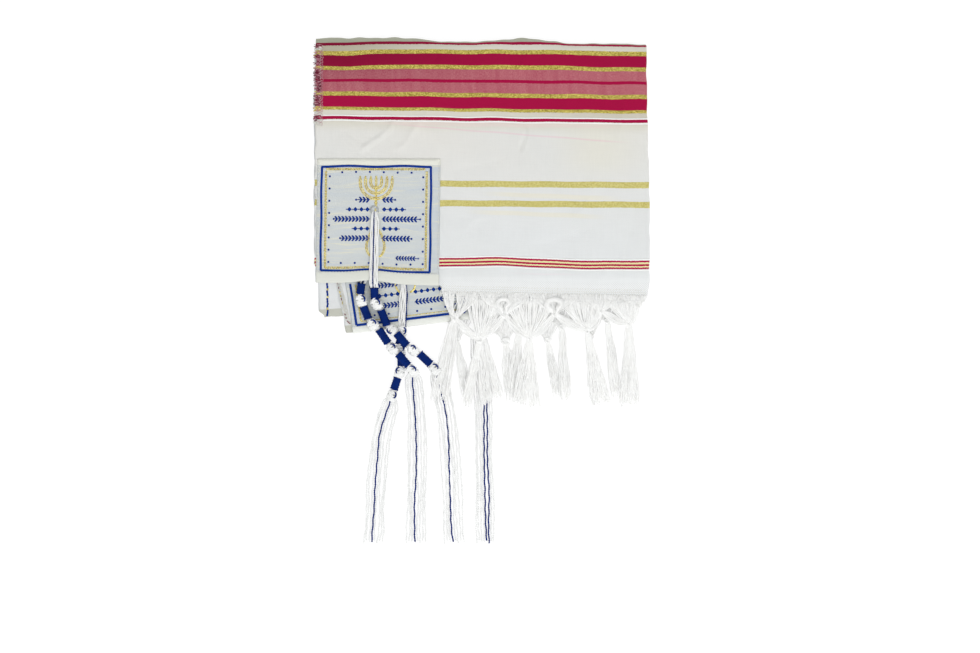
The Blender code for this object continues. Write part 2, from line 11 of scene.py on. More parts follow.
import bpy
import numpy as np
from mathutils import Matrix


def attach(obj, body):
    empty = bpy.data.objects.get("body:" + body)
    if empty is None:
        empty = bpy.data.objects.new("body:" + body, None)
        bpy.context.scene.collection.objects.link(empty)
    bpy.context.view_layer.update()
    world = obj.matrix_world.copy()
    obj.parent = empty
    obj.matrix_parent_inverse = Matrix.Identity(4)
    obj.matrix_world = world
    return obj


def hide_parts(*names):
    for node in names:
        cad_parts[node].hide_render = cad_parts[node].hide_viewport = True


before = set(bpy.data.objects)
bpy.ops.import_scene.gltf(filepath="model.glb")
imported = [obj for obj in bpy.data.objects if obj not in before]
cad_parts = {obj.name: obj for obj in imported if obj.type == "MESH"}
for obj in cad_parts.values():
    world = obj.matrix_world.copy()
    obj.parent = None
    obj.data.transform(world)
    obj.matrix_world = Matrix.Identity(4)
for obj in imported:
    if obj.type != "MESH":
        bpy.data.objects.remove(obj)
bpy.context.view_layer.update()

MM = 0.001
BODY = "root"

# The cloth and the levels of its layers
HALF_LEAF = 140.0
LEAF_WIDTH = 280.0
WALL = 1.0
GAP = 0.3
PITCH = WALL + GAP
STACK_TOP = 8.2
LEVEL_4 = STACK_TOP + GAP + WALL / 2
LEVEL_3 = LEVEL_4 + PITCH
LEVEL_2 = LEVEL_3 + PITCH
LEVEL_1 = LEVEL_2 + PITCH
CLOTH = 0.7

# The back and the front of the pack
BACK_LINE = 204.4
BACK_SKEW = 5.5
BACK_RIPPLE = 0.5
BACK_CENTRE = 6.0
BACK_INSIDE = 6.3
STACK_FRONT = 22.0
DROP_START = 20.0
DROP_LENGTH = 30.0
DROP_HEIGHT = 8.0
DROP_TOP = 10.0

# The corner patches
PATCH_LEFT = -138.0
PATCH_WIDTH = 102.5
PATCH_HEM = 8.1
EYELET = (-90.0, 67.6)
PATCH_DEPTH = 102.5
PATCH_END = -36.0
PATCH_STEP = 4.0
LOWER_PATCH_LEFT = -108.8
LOWER_PATCH_LEAN = 0.15

# The corner tassels and the fringe
WINDING_RADIUS = 2.95
WINDING_THREAD = 0.42
WINDING_BREADTH = 1.22
CORD_RADIUS = 0.85
KNOT_SIZE = 3.3
STRANDS = 8
STRAND_END = -211.0
FRINGE_END = -95.0
FRINGE_RIGHT = 136.0

# Woven bands of the striped end, by their distance from the hem, as the colour ramp draws them
Band = namedtuple("Band", "low high yarn")
BANDS = (
    Band(70.4, 75.2, "pale gold"),
    Band(86.8, 91.6, "pale gold"),
    Band(141.9, 144.3, "magenta"),
    Band(149.1, 151.7, "gold"),
    Band(151.7, 161.3, "magenta"),
    Band(161.3, 164.6, "gold"),
    Band(164.6, 173.2, "pink"),
    Band(173.2, 175.5, "magenta"),
    Band(175.5, 184.8, "pink"),
    Band(184.8, 187.8, "gold"),
    Band(187.8, 197.2, "magenta"),
    Band(197.2, 200.6, "gold"),
    Band(204.9, 207.3, "magenta"),
)
# Lines too fine for the ramp's steps, each drawn by a window of its own
FINE_BANDS = (
    Band(20.1, 21.5, "crimson"),
    Band(21.5, 22.6, "straw"),
    Band(22.6, 24.2, "crimson"),
    Band(24.2, 25.6, "straw"),
    Band(25.6, 27.1, "crimson"),
)
# White cords woven in beside them: where each starts and ends, and how soft its edges are
CORDS = ((27.3, 28.5, 0.2), (18.6, 19.8, 0.2), (140.5, 141.7, 0.25), (144.6, 145.7, 0.2))
# A yarn's colour, and a code that tells the shader what kind of thread it is
Yarn = namedtuple("Yarn", "colour code")
YARNS = {
    "white": Yarn((227, 228, 225), 0.0),
    "magenta": Yarn((170, 5, 66), 0.25),
    "crimson": Yarn((172, 4, 66), 0.25),
    "straw": Yarn((232, 226, 168), 0.25),
    "pink": Yarn((176, 86, 98), 0.5),
    "pale gold": Yarn((208, 196, 122), 0.8),
    "gold": Yarn((188, 172, 78), 1.0),
}
# Bands of the layer below, which show faintly through the white
Shadow = namedtuple("Shadow", "low slope start end wide colour share")
SHADOWS = (
    Shadow(142.4, -0.0682, 76.0, 250.0, 0.9, (232, 178, 196), 0.42),
    Shadow(138.0, -0.004, 60.0, 250.0, 3.6, (236, 208, 210), 0.30),
    Shadow(83.5, -0.028, 150.0, 244.0, 3.6, (232, 224, 190), 0.34),
    Shadow(68.0, -0.028, 138.0, 232.0, 3.6, (232, 224, 190), 0.34),
    Shadow(10.5, 0.02, 172.0, 214.0, 0.9, (236, 206, 214), 0.2),
)
# The lower leaves count their distance from here, past every band, so that they are plain
PLAIN = 434.0
# The distances from the hem that the colour ramp covers
RAMP_LOW = -5.0
RAMP_HIGH = 215.0

# The main creases: where each starts and ends, its height or, below 0, its depth, and its width
Crease = namedtuple("Crease", "x0 y0 x1 y1 height width")
CREASES = (
    Crease(-99, 117, -74, 141, 1.5, 2.3),
    Crease(-72, 118, -50, 142, 0.85, 2.8),
    Crease(-52, 140, -40, 156, 0.60, 2.4),
    Crease(33, 118, 35, 141, -1.3, 1.8),
    Crease(30, 183, 41, 201, 0.70, 2.6),
    Crease(-20, 190, -12, 206, 0.80, 2.2),
    Crease(-44, 186, -30, 204, -0.50, 2.6),
    Crease(78, 60, 96, 98, 0.50, 4.2),
    Crease(40, 36, 92, 52, -0.45, 4.6),
    Crease(-28, 52, 6, 64, 0.42, 4.0),
    Crease(112, 120, 124, 176, 0.60, 3.6),
    Crease(60, 148, 88, 171, 0.50, 3.8),
    Crease(-118, 128, -96, 119, 0.55, 3.0),
    Crease(-30, 98, 22, 112, -0.38, 4.4),
    Crease(92, 4, 110, 22, 0.50, 3.4),
    Crease(16, 2, 24, 17, -0.45, 3.0),
    Crease(120, 30, 131, 84, -0.45, 3.8),
)

# What the tassels and the fringe are laid out from. Fans, legs and tassels name their knots by number
Knot = namedtuple("Knot", "x y z")
Station = namedtuple("Station", "x y z kind")
Fan = namedtuple("Fan", "left right knot behind", defaults=(False,))
Leg = namedtuple("Leg", "start end")
Tassel = namedtuple("Tassel", "knot x y z spread")
Opening = namedtuple("Opening", "x y half_width half_height")


def smooth(t):
    """0 below 0, 1 above 1, and a smooth step between them."""
    t = np.clip(t, 0.0, 1.0)
    return t * t * (3 - 2 * t)


def bump(distance, width):
    return np.exp(-((distance / width) ** 2))


def swell(x, y):
    return 1 - 0.09 * (x / HALF_LEAF) ** 4 - 0.05 * ((y - 100) / 110) ** 4


def ripple(x, y):
    striped = smooth((y - 120) / 40)
    across = 0.45 * (1 + np.sin(x / 17.5 + 0.8)) * (0.35 + 0.65 * striped)
    ridge = 0.8 * bump((x + 0.9 * (y - 150)) + 62, 9) * bump(y - 142, 26)
    crease = 0.7 * bump(x - 33, 5) * bump(y - 130, 16)
    hollow = 0.5 * (1 + np.sin(y / 21.0 + x / 60.0))
    return across + ridge + crease + 0.35 * hollow


def lift(x, y):
    return 2.3 * bump(x + 84, 44) * smooth((30 - y) / 18)


def droop(x, y):
    return 3.9 * smooth((x + 45) / 20) * smooth((14 - y) / 18)


def drop(y):
    return smooth((DROP_START - y) / DROP_LENGTH)


def back_line(x):
    return BACK_LINE - BACK_SKEW * (x + HALF_LEAF) / LEAF_WIDTH + BACK_RIPPLE * np.sin(x / 15)


def hem_tilt(x):
    return -0.025 * (x + 138)


def hem_pull(x):
    return 3.0 * bump(x + 93, 17)


def hem_1(x):
    patched = PATCH_HEM + hem_tilt(x) + hem_pull(x)
    plain = -1.0 - 0.021 * (x + 35)
    return patched + (plain - patched) * smooth((x - PATCH_END) / PATCH_STEP)


def hem_3(x):
    return -34.6 + 0.123 * (x + 112)


def hem_4(x):
    return -21.2 + 0.07 * (x + 130)


def left_1(y):
    return -HALF_LEAF + 0.7 * smooth((y - 100) / 80)


def left_3(y):
    return -122.3 + 0.236 * (8 - np.clip(y, -30.0, 60.0)) + 5.5 * smooth((-23 - y) / 9)


def left_4(y):
    return -137.8 + 5.0 * smooth((-16 - y) / 8) ** 2


def fold_1(y):
    return 137.9 - 2.6 * smooth((y - 60) / 140) - 2.8 * smooth((15 - y) / 25)


def fold_3(y):
    return 136.5 - 2.0 * smooth((y - 60) / 140)


def creases(x, y):
    """The main creases: each is a soft ridge or trough along a short line, tapered to its ends."""
    total = np.zeros(np.broadcast(x, y).shape)
    for c in CREASES:
        length = math.hypot(c.x1 - c.x0, c.y1 - c.y0)
        ux, uy = (c.x1 - c.x0) / length, (c.y1 - c.y0) / length
        along = ((x - c.x0) * ux + (y - c.y0) * uy) / length
        bend = 1.5 * np.sin(along * 5.0 + c.x0)
        aside = -(x - c.x0) * uy + (y - c.y0) * ux - bend
        ridge = c.height * bump(aside, c.width) * smooth(along / 0.25 + 0.6)
        total = total + ridge * smooth((1.15 - along) / 0.3)
    return total


def fine_waves(x, y):
    """The slight unevenness that a pressed and handled cloth keeps."""
    return (
        0.10 * np.sin(x / 6.1 + 0.7 * np.sin(y / 13.0))
        + 0.08 * np.sin(y / 5.3 + 0.9 * np.sin(x / 17.0))
        + 0.06 * np.sin((x + y) / 4.1 + 1.3 * np.sin((x - y) / 23.0))
    )


def upper_height(x, y, level, top=1.0):
    """The height of the upper pair at x and y. top is 1 on the top leaf and 0 on the leaf under it."""
    base = level * swell(x, y) + lift(x, y) - droop(x, y)
    return base + top * (ripple(x, y) + creases(x, y) + fine_waves(x, y))


def lower_height(x, y, level):
    share = drop(y)
    return level * (swell(x, y) * (1 - share) + share) - DROP_HEIGHT * share


def weft(x, y):
    """How far from the hem a thread lies that passes through x and y: the weft runs a little uneven."""
    tilt = 0.0075 + 0.0055 * bump(y - 155, 32) - 0.0020 * smooth((y - 185) / 20)
    striped = smooth((y - 110) / 40)
    high = smooth((y - 166) / 34)
    waves = 0.16 * np.sin(x / 7.1 + y / 9.0) - 0.2 * striped * np.cos((x + 52 + 5 * np.sin(x / 17)) / 10.05)
    waves = waves + high * (1.5 * bump(x + 136, 26) + 1.0 * bump(x - 140, 24))
    upper = 2.3 * bump(x + 113, 15) + 0.5 * bump(x + 73, 16) + 0.8 * bump(x - 97, 20) - 0.5 * bump(x - 45, 22)
    waves = waves + bump(y - 191, 12) * upper
    crest = -1.5 * bump(x - 10, 34) * bump(y - 24, 26) + 0.9 * bump(x - 95, 40) * bump(y - 24, 30)
    return y + tilt * x + waves + crest


def srgb(colour):
    """Display values from 0 to 255 as the linear ones that shaders take."""
    return tuple(c / 255 / 12.92 if c <= 10 else ((c / 255 + 0.055) / 1.055) ** 2.4 for c in colour)


class Shader:
    """A Principled material and the few kinds of node that its colour and bump are made of."""

    def __init__(self, name, roughness=0.85, metallic=0.0, sheen=0.0, specular=0.3):
        self.material = bpy.data.materials.new(name)
        self.material.use_nodes = True
        self.tree = self.material.node_tree
        self.bsdf = self.tree.nodes["Principled BSDF"]
        self.bsdf.inputs["Roughness"].default_value = roughness
        self.bsdf.inputs["Metallic"].default_value = metallic
        self.bsdf.inputs["Specular IOR Level"].default_value = specular
        self.bsdf.inputs["Sheen Weight"].default_value = sheen
        self.bsdf.inputs["Sheen Roughness"].default_value = 0.5

    def node(self, kind, **settings):
        made = self.tree.nodes.new(kind)
        for key, value in settings.items():
            setattr(made, key, value)
        return made

    def put(self, socket, value):
        if isinstance(value, bpy.types.NodeSocket):
            self.tree.links.new(value, socket)
        else:
            socket.default_value = value

    def math(self, operation, a, b=0.0, clamp=False):
        made = self.node("ShaderNodeMath", operation=operation, use_clamp=clamp)
        self.put(made.inputs[0], a)
        self.put(made.inputs[1], b)
        return made.outputs[0]

    def times(self, a, b, clamp=False):
        return self.math("MULTIPLY", a, b, clamp)

    def plus(self, a, b):
        return self.math("ADD", a, b)

    def mix(self, factor, a, b, blend="MIX"):
        made = self.node("ShaderNodeMix", data_type="RGBA", blend_type=blend)
        self.put(made.inputs["Factor"], factor)
        for socket, value in ((made.inputs[6], a), (made.inputs[7], b)):
            self.put(socket, value if isinstance(value, bpy.types.NodeSocket) else (*value, 1.0))
        return made.outputs[2]

    def window(self, value, low, high, soft):
        """1 between low and high, 0 outside, with soft edges."""
        rise = self.node("ShaderNodeMapRange", interpolation_type="SMOOTHSTEP")
        fall = self.node("ShaderNodeMapRange", interpolation_type="SMOOTHSTEP")
        for made, start, end in ((rise, low - soft, low + soft), (fall, high + soft, high - soft)):
            self.put(made.inputs["Value"], value)
            made.inputs["From Min"].default_value = start
            made.inputs["From Max"].default_value = end
        return self.math("MULTIPLY", rise.outputs[0], fall.outputs[0])

    def noise(self, vector, scale, detail=2.0, roughness=0.5):
        made = self.node("ShaderNodeTexNoise")
        self.put(made.inputs["Vector"], vector)
        made.inputs["Scale"].default_value = scale
        made.inputs["Detail"].default_value = detail
        made.inputs["Roughness"].default_value = roughness
        return made.outputs["Fac"]

    def streaks(self, u, v, rate_u, rate_v, detail, roughness=0.5):
        """Noise that changes at one rate along u and at another along v."""
        return self.noise(self.vector(self.times(u, rate_u), self.times(v, rate_v)), 1.0, detail, roughness)

    def remap(self, value, low, high):
        """A noise value spread to run from low to high."""
        made = self.node("ShaderNodeMapRange")
        self.put(made.inputs["Value"], value)
        made.inputs["From Min"].default_value = 0.3
        made.inputs["From Max"].default_value = 0.7
        made.inputs["To Min"].default_value = low
        made.inputs["To Max"].default_value = high
        return made.outputs[0]

    def uv(self):
        """The cloth's own coordinates, in millimetres: across it, and up from its hem."""
        made = self.node("ShaderNodeUVMap", uv_map="cloth")
        split = self.node("ShaderNodeSeparateXYZ")
        self.tree.links.new(made.outputs[0], split.inputs[0])
        return split.outputs[0], split.outputs[1]

    def vector(self, x, y, z=0.0):
        made = self.node("ShaderNodeCombineXYZ")
        for socket, value in zip(made.inputs, (x, y, z)):
            self.put(socket, value)
        return made.outputs[0]

    def position(self):
        return self.node("ShaderNodeTexCoord").outputs["Object"]

    def colour(self, value):
        self.put(self.bsdf.inputs["Base Color"], value)

    def bump(self, height, distance, strength=1.0):
        made = self.node("ShaderNodeBump")
        self.put(made.inputs["Height"], height)
        made.inputs["Distance"].default_value = distance
        made.inputs["Strength"].default_value = strength
        self.tree.links.new(made.outputs[0], self.bsdf.inputs["Normal"])


def weave_height(shader, u, v, pitch):
    """A plain weave's height from 0 to 1: threads along u and v pass over each other by turns."""
    turn = 2 * math.pi / pitch
    along = shader.math("SINE", shader.times(u, turn))
    across = shader.math("SINE", shader.times(v, turn))
    both = shader.times(along, across)
    return shader.plus(shader.times(both, 0.5), 0.5)


def shawl_cloth():
    """White woven cloth with its bands of dyed yarn and gold thread."""
    s = Shader("shawl_cloth", roughness=0.85, specular=0.15)
    u, v = s.uv()
    thread = s.streaks(u, v, 1.4, 0.25, 1.0)
    ragged = s.plus(v, s.remap(thread, -0.2, 0.2))
    span = RAMP_HIGH - RAMP_LOW
    place = s.times(s.math("SUBTRACT", ragged, RAMP_LOW), 1 / span)
    ramp = s.node("ShaderNodeValToRGB")
    ramp.color_ramp.interpolation = "CONSTANT"
    stops = [(RAMP_LOW, "white")]
    for band, after in zip(BANDS, BANDS[1:] + (Band(1e9, 1e9, "white"),)):
        stops.append((band.low, band.yarn))
        if after.low > band.high:
            stops.append((band.high, "white"))
    elements = ramp.color_ramp.elements
    elements.remove(elements[1])
    for number, (low, yarn) in enumerate(stops):
        element = elements[0] if number == 0 else elements.new((low - RAMP_LOW) / span)
        element.color = (*srgb(YARNS[yarn].colour), YARNS[yarn].code)
    s.put(ramp.inputs[0], place)
    band, code = ramp.outputs["Color"], ramp.outputs["Alpha"]

    gold = s.math("GREATER_THAN", code, 0.7)
    rich = s.math("GREATER_THAN", code, 0.9)
    pink = s.window(code, 0.45, 0.6, 0.02)
    white = s.math("LESS_THAN", code, 0.1)

    warp = s.streaks(u, v, 1.1, 0.05, 3.0)
    slub = s.streaks(u, v, 0.06, 0.9, 3.0)
    grain = s.noise(s.vector(u, v), 1.3, 2.0, 0.7)
    mottle = s.noise(s.vector(u, v), 0.012, 3.0)
    # Painted glints: cells of the gold bands are painted from dark to bright gold, and the same cells raise
    # their bump
    glitter = s.node("ShaderNodeTexVoronoi")
    s.put(glitter.inputs["Vector"], s.vector(s.times(u, 1.5), s.times(v, 1.9)))
    glitter.inputs["Scale"].default_value = 1.0
    spark = s.node("ShaderNodeSeparateXYZ")
    s.put(spark.inputs[0], glitter.outputs["Color"])

    # Painted shade: the white is a little warmer and greyer towards the striped end, and cooler towards the
    # hem
    cloth = s.mix(s.window(v, 90.0, 400.0, 60.0), srgb((226, 229, 230)), srgb((226, 224, 218)))
    cloth = s.mix(s.remap(mottle, 0.0, 0.6), cloth, srgb((220, 222, 220)))
    cloth = s.mix(s.window(v, -50.0, 9.0, 5.0), cloth, srgb((232, 234, 234)))
    shade = s.times(s.window(v, 100.0, 140.0, 14.0), s.window(u, 214.0, 262.0, 24.0))
    cloth = s.mix(s.times(shade, 0.35), cloth, srgb((224, 222, 202)))
    # Painted shade: the striped end is greyer and warmer from v 136 up, and much darker in its top-left corner
    # (the corner mask)
    corner = s.times(s.window(v, 180.0, 420.0, 26.0), s.window(u, -200.0, 84.0, 84.0))
    cloth = s.mix(s.times(s.window(v, 136.0, 420.0, 6.0), 0.8), cloth, srgb((213, 209, 194)))
    # Painted shade: a darker strip just below the lowest gold band, towards the right
    strip_shade = s.times(s.window(v, 145.2, 150.0, 0.6), s.window(u, 190.0, 400.0, 70.0))
    cloth = s.mix(s.times(strip_shade, 0.7), cloth, srgb((198, 191, 176)))
    cloth = s.mix(corner, cloth, srgb((177, 170, 151)))
    tone = s.plus(s.remap(warp, 0.982, 1.008), s.remap(slub, -0.01, 0.01))
    cloth = s.mix(1.0, cloth, s.vector(tone, tone, tone), "MULTIPLY")
    body = s.mix(white, band, cloth)
    dyed = s.math("SUBTRACT", 1.0, white)
    # Painted shade on the dyed bands: darker in the top-left corner and a little darker over the top of the
    # striped end
    far = s.plus(s.times(corner, 0.5), s.times(s.window(v, 186.0, 420.0, 10.0), 0.14))
    body = s.mix(s.times(dyed, far), body, srgb((84, 4, 30)))
    body = s.mix(s.times(s.remap(grain, 0.0, 0.35), dyed), body, srgb((128, 4, 48)))
    speck = s.streaks(u, v, 1.6, 0.7, 3.0, 0.8)
    fleck = s.times(pink, s.remap(speck, -0.1, 0.85))
    body = s.mix(fleck, body, srgb((208, 144, 150)))
    column = s.streaks(u, v, 0.2, 0.02, 3.0, 0.6)
    fleck = s.times(pink, s.remap(column, 0.0, 0.42))
    body = s.mix(fleck, body, srgb((158, 52, 78)))

    metal = s.mix(spark.outputs[0], srgb((140, 122, 44)), srgb((226, 212, 112)))
    pale = s.mix(spark.outputs[1], srgb((192, 180, 96)), srgb((222, 214, 144)))
    body = s.mix(gold, body, s.mix(rich, pale, metal))
    # Painted shade: the pink bands are darker in the top-left corner
    body = s.mix(s.times(s.times(pink, corner), 0.34), body, srgb((116, 34, 58)))
    for fine in FINE_BANDS:
        body = s.mix(s.window(ragged, fine.low, fine.high, 0.08), body, srgb(YARNS[fine.yarn].colour))

    for low, slope, start, end, wide, colour, share in SHADOWS:
        line = s.math("SUBTRACT", v, s.times(u, slope))
        shown = s.times(s.window(line, low, low + wide, 0.8), s.window(u, start, end, 16.0))
        shown = s.times(s.times(shown, white), share)
        body = s.mix(shown, body, srgb(colour))
    # The turned back edge is painted a greyish khaki, as painted shade where it turns down out of the light,
    # and the lower leaves' foot is cream near its ends
    # Painted shade: the turned-down back edge is greyed to khaki
    back = s.times(s.window(v, 208.0, 400.0, 0.5), 0.95)
    body = s.mix(back, body, s.mix(s.remap(slub, 0.0, 1.0), srgb((160, 163, 144)), srgb((172, 174, 154))))
    # Partly painted shade: the lower leaves' foot near its ends is its own cream, painted darker with shade
    ends = s.plus(s.window(u, -50.0, 60.0, 10.0), s.window(u, 440.0, 800.0, 10.0))
    body = s.mix(s.times(s.window(v, 433.0, 440.5, 0.5), ends), body, srgb((196, 197, 186)))
    cords = 0.0
    for low, high, soft in CORDS:
        cords = s.plus(cords, s.window(v, low, high, soft))
    body = s.mix(cords, body, srgb((247, 248, 246)))
    # Openwork along the hem: rows of small holes, with painted shade in them, darker than the cloth round them
    along = s.math("SINE", s.times(u, 2 * math.pi / 1.9))
    rows = s.math("SINE", s.times(v, 2 * math.pi / 1.7))
    hole_shade = s.times(s.times(along, rows), s.window(v, -4.0, 9.0, 1.6))
    hole_shade = s.times(s.math("MAXIMUM", hole_shade, 0.0), s.window(u, 104.0, 280.0, 2.0))
    body = s.mix(s.times(hole_shade, 0.6), body, srgb((186, 188, 188)))
    s.colour(body)

    s.put(s.bsdf.inputs["Sheen Weight"], s.times(white, 0.15))
    s.put(s.bsdf.inputs["Metallic"], s.times(gold, 0.3))
    s.put(s.bsdf.inputs["Roughness"], s.math("SUBTRACT", 0.86, s.times(gold, 0.46)))
    height = weave_height(s, u, v, 0.62)
    height = s.plus(height, s.times(s.times(gold, spark.outputs[2]), 1.6))
    height = s.plus(height, s.times(cords, 3.0))
    height = s.plus(height, s.times(s.plus(warp, slub), 0.7))
    s.bump(height, 0.00016)
    return s.material


def patch_satin(name, hem, margin, foot):
    """Grey-blue satin with a watered pattern in uneven waves and a painted sheen, from hem to margin.

    foot is the colour of its turned hem, and the border above margin is cream."""
    s = Shader(name, roughness=0.55, sheen=0.1, specular=0.25)
    u, v = s.uv()
    # Painted sheen: the watered waves are painted lighter and darker, with pale warm streaks along them as
    # painted highlights
    wander = s.noise(s.vector(s.times(u, 0.5), v), 0.035, 2.0)
    level = s.plus(s.times(v, 0.16), s.times(wander, 2.6))
    water = s.noise(s.vector(s.times(u, 0.010), level), 1.5, 3.0, 0.6)
    field = s.mix(s.remap(water, 0.0, 1.0), srgb((194, 202, 209)), srgb((209, 212, 207)))
    streak = s.streaks(u, level, 0.016, 2.4, 3.0, 0.7)
    lit = s.times(s.window(streak, 0.58, 0.9, 0.05), 0.45)
    field = s.mix(lit, field, srgb((232, 226, 196)))
    weave = s.streaks(u, v, 2.2, 0.5, 2.0)
    field = s.mix(s.remap(weave, 0.0, 0.16), field, srgb((178, 186, 192)))
    border = s.mix(s.window(v, hem, margin + 20.0, 0.3), srgb(foot), srgb((227, 228, 218)))
    s.colour(s.mix(s.window(v, hem, margin, 0.3), border, field))
    height = s.plus(weave_height(s, u, v, 0.42), s.times(weave, 1.6))
    s.bump(height, 0.0001)
    return s.material


def yarn(
    name, colour, shade, roughness=0.85, scale=2600.0, contrast=0.55, sheen=0.2, specular=0.25, glow=0.0
):
    """Spun thread: fine flecks of shade on colour, and a fibrous bump. glow is painted light: a faint glow of
    the thread's own colour, standing for light let through and lifting its shade.
    """
    s = Shader(name, roughness=roughness, sheen=sheen, specular=specular)
    # Painted light: the thread glows faintly in its own colour
    s.bsdf.inputs["Emission Color"].default_value = (*srgb(colour), 1.0)
    s.bsdf.inputs["Emission Strength"].default_value = glow
    place = s.position()
    fibre = s.noise(place, scale, 3.0, 0.6)
    broad = s.noise(place, scale / 14, 2.0)
    fleck = s.times(s.plus(s.remap(fibre, 0.0, 1.0), s.remap(broad, 0.0, 0.6)), contrast, True)
    s.colour(s.mix(fleck, srgb(colour), srgb(shade)))
    s.bump(fibre, 0.00018)
    return s.material


def metallic_thread():
    """Gold thread whose turns catch the light one by one."""
    s = Shader("gold_thread", roughness=0.36, metallic=0.5, specular=0.5)
    # Painted glints: each cell is painted between a dark and a bright gold, and the same cells give its bump
    cells = s.node("ShaderNodeTexVoronoi")
    s.put(cells.inputs["Vector"], s.position())
    cells.inputs["Scale"].default_value = 1500.0
    split = s.node("ShaderNodeSeparateXYZ")
    s.put(split.inputs[0], cells.outputs["Color"])
    s.colour(s.mix(split.outputs[0], srgb((168, 142, 52)), srgb((250, 236, 150))))
    s.bump(split.outputs[1], 0.00015)
    return s.material


def grid_faces(rows, columns):
    index = np.arange(rows * columns).reshape(rows, columns)
    corners = (index[:-1, :-1], index[:-1, 1:], index[1:, 1:], index[1:, :-1])
    return np.stack([c.ravel() for c in corners], axis=1)


def finish_piece(obj, replaced=()):
    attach(obj, BODY)
    if replaced:
        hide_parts(*replaced)
    return obj


def new_object(name, points, faces, materials, uv=None, indices=None):
    """A smooth mesh object. points are in millimetres, and uv is one pair for each point."""
    mesh = bpy.data.meshes.new(name)
    mesh.from_pydata((np.asarray(points, dtype=float) * MM).tolist(), [], faces)
    for material in materials:
        mesh.materials.append(material)
    if indices is not None:
        mesh.polygons.foreach_set("material_index", np.asarray(indices, dtype=np.int32))
    if uv is not None:
        layer = mesh.uv_layers.new(name="cloth")
        loops = np.empty(len(mesh.loops), dtype=np.int32)
        mesh.loops.foreach_get("vertex_index", loops)
        layer.data.foreach_set("uv", np.asarray(uv, dtype=np.float32)[loops].ravel())
    mesh.shade_smooth()
    mesh.validate()
    obj = bpy.data.objects.new(name, mesh)
    bpy.context.scene.collection.objects.link(obj)
    return obj


def cloth_sheet(name, points, uv, material, thickness=CLOTH):
    """A sheet of cloth from a grid of points, given the cloth's thickness."""
    rows, columns = points.shape[:2]
    faces = grid_faces(rows, columns).tolist()
    obj = new_object(name, points.reshape(-1, 3), faces, [material], uv.reshape(-1, 2))
    solid = obj.modifiers.new("thickness", "SOLIDIFY")
    solid.thickness = thickness * MM
    solid.offset = 0.0
    return obj


def distances(steps):
    """How far each point of a line lies from its start, from the lengths of its steps."""
    return np.concatenate([[0.0], np.cumsum(steps)])


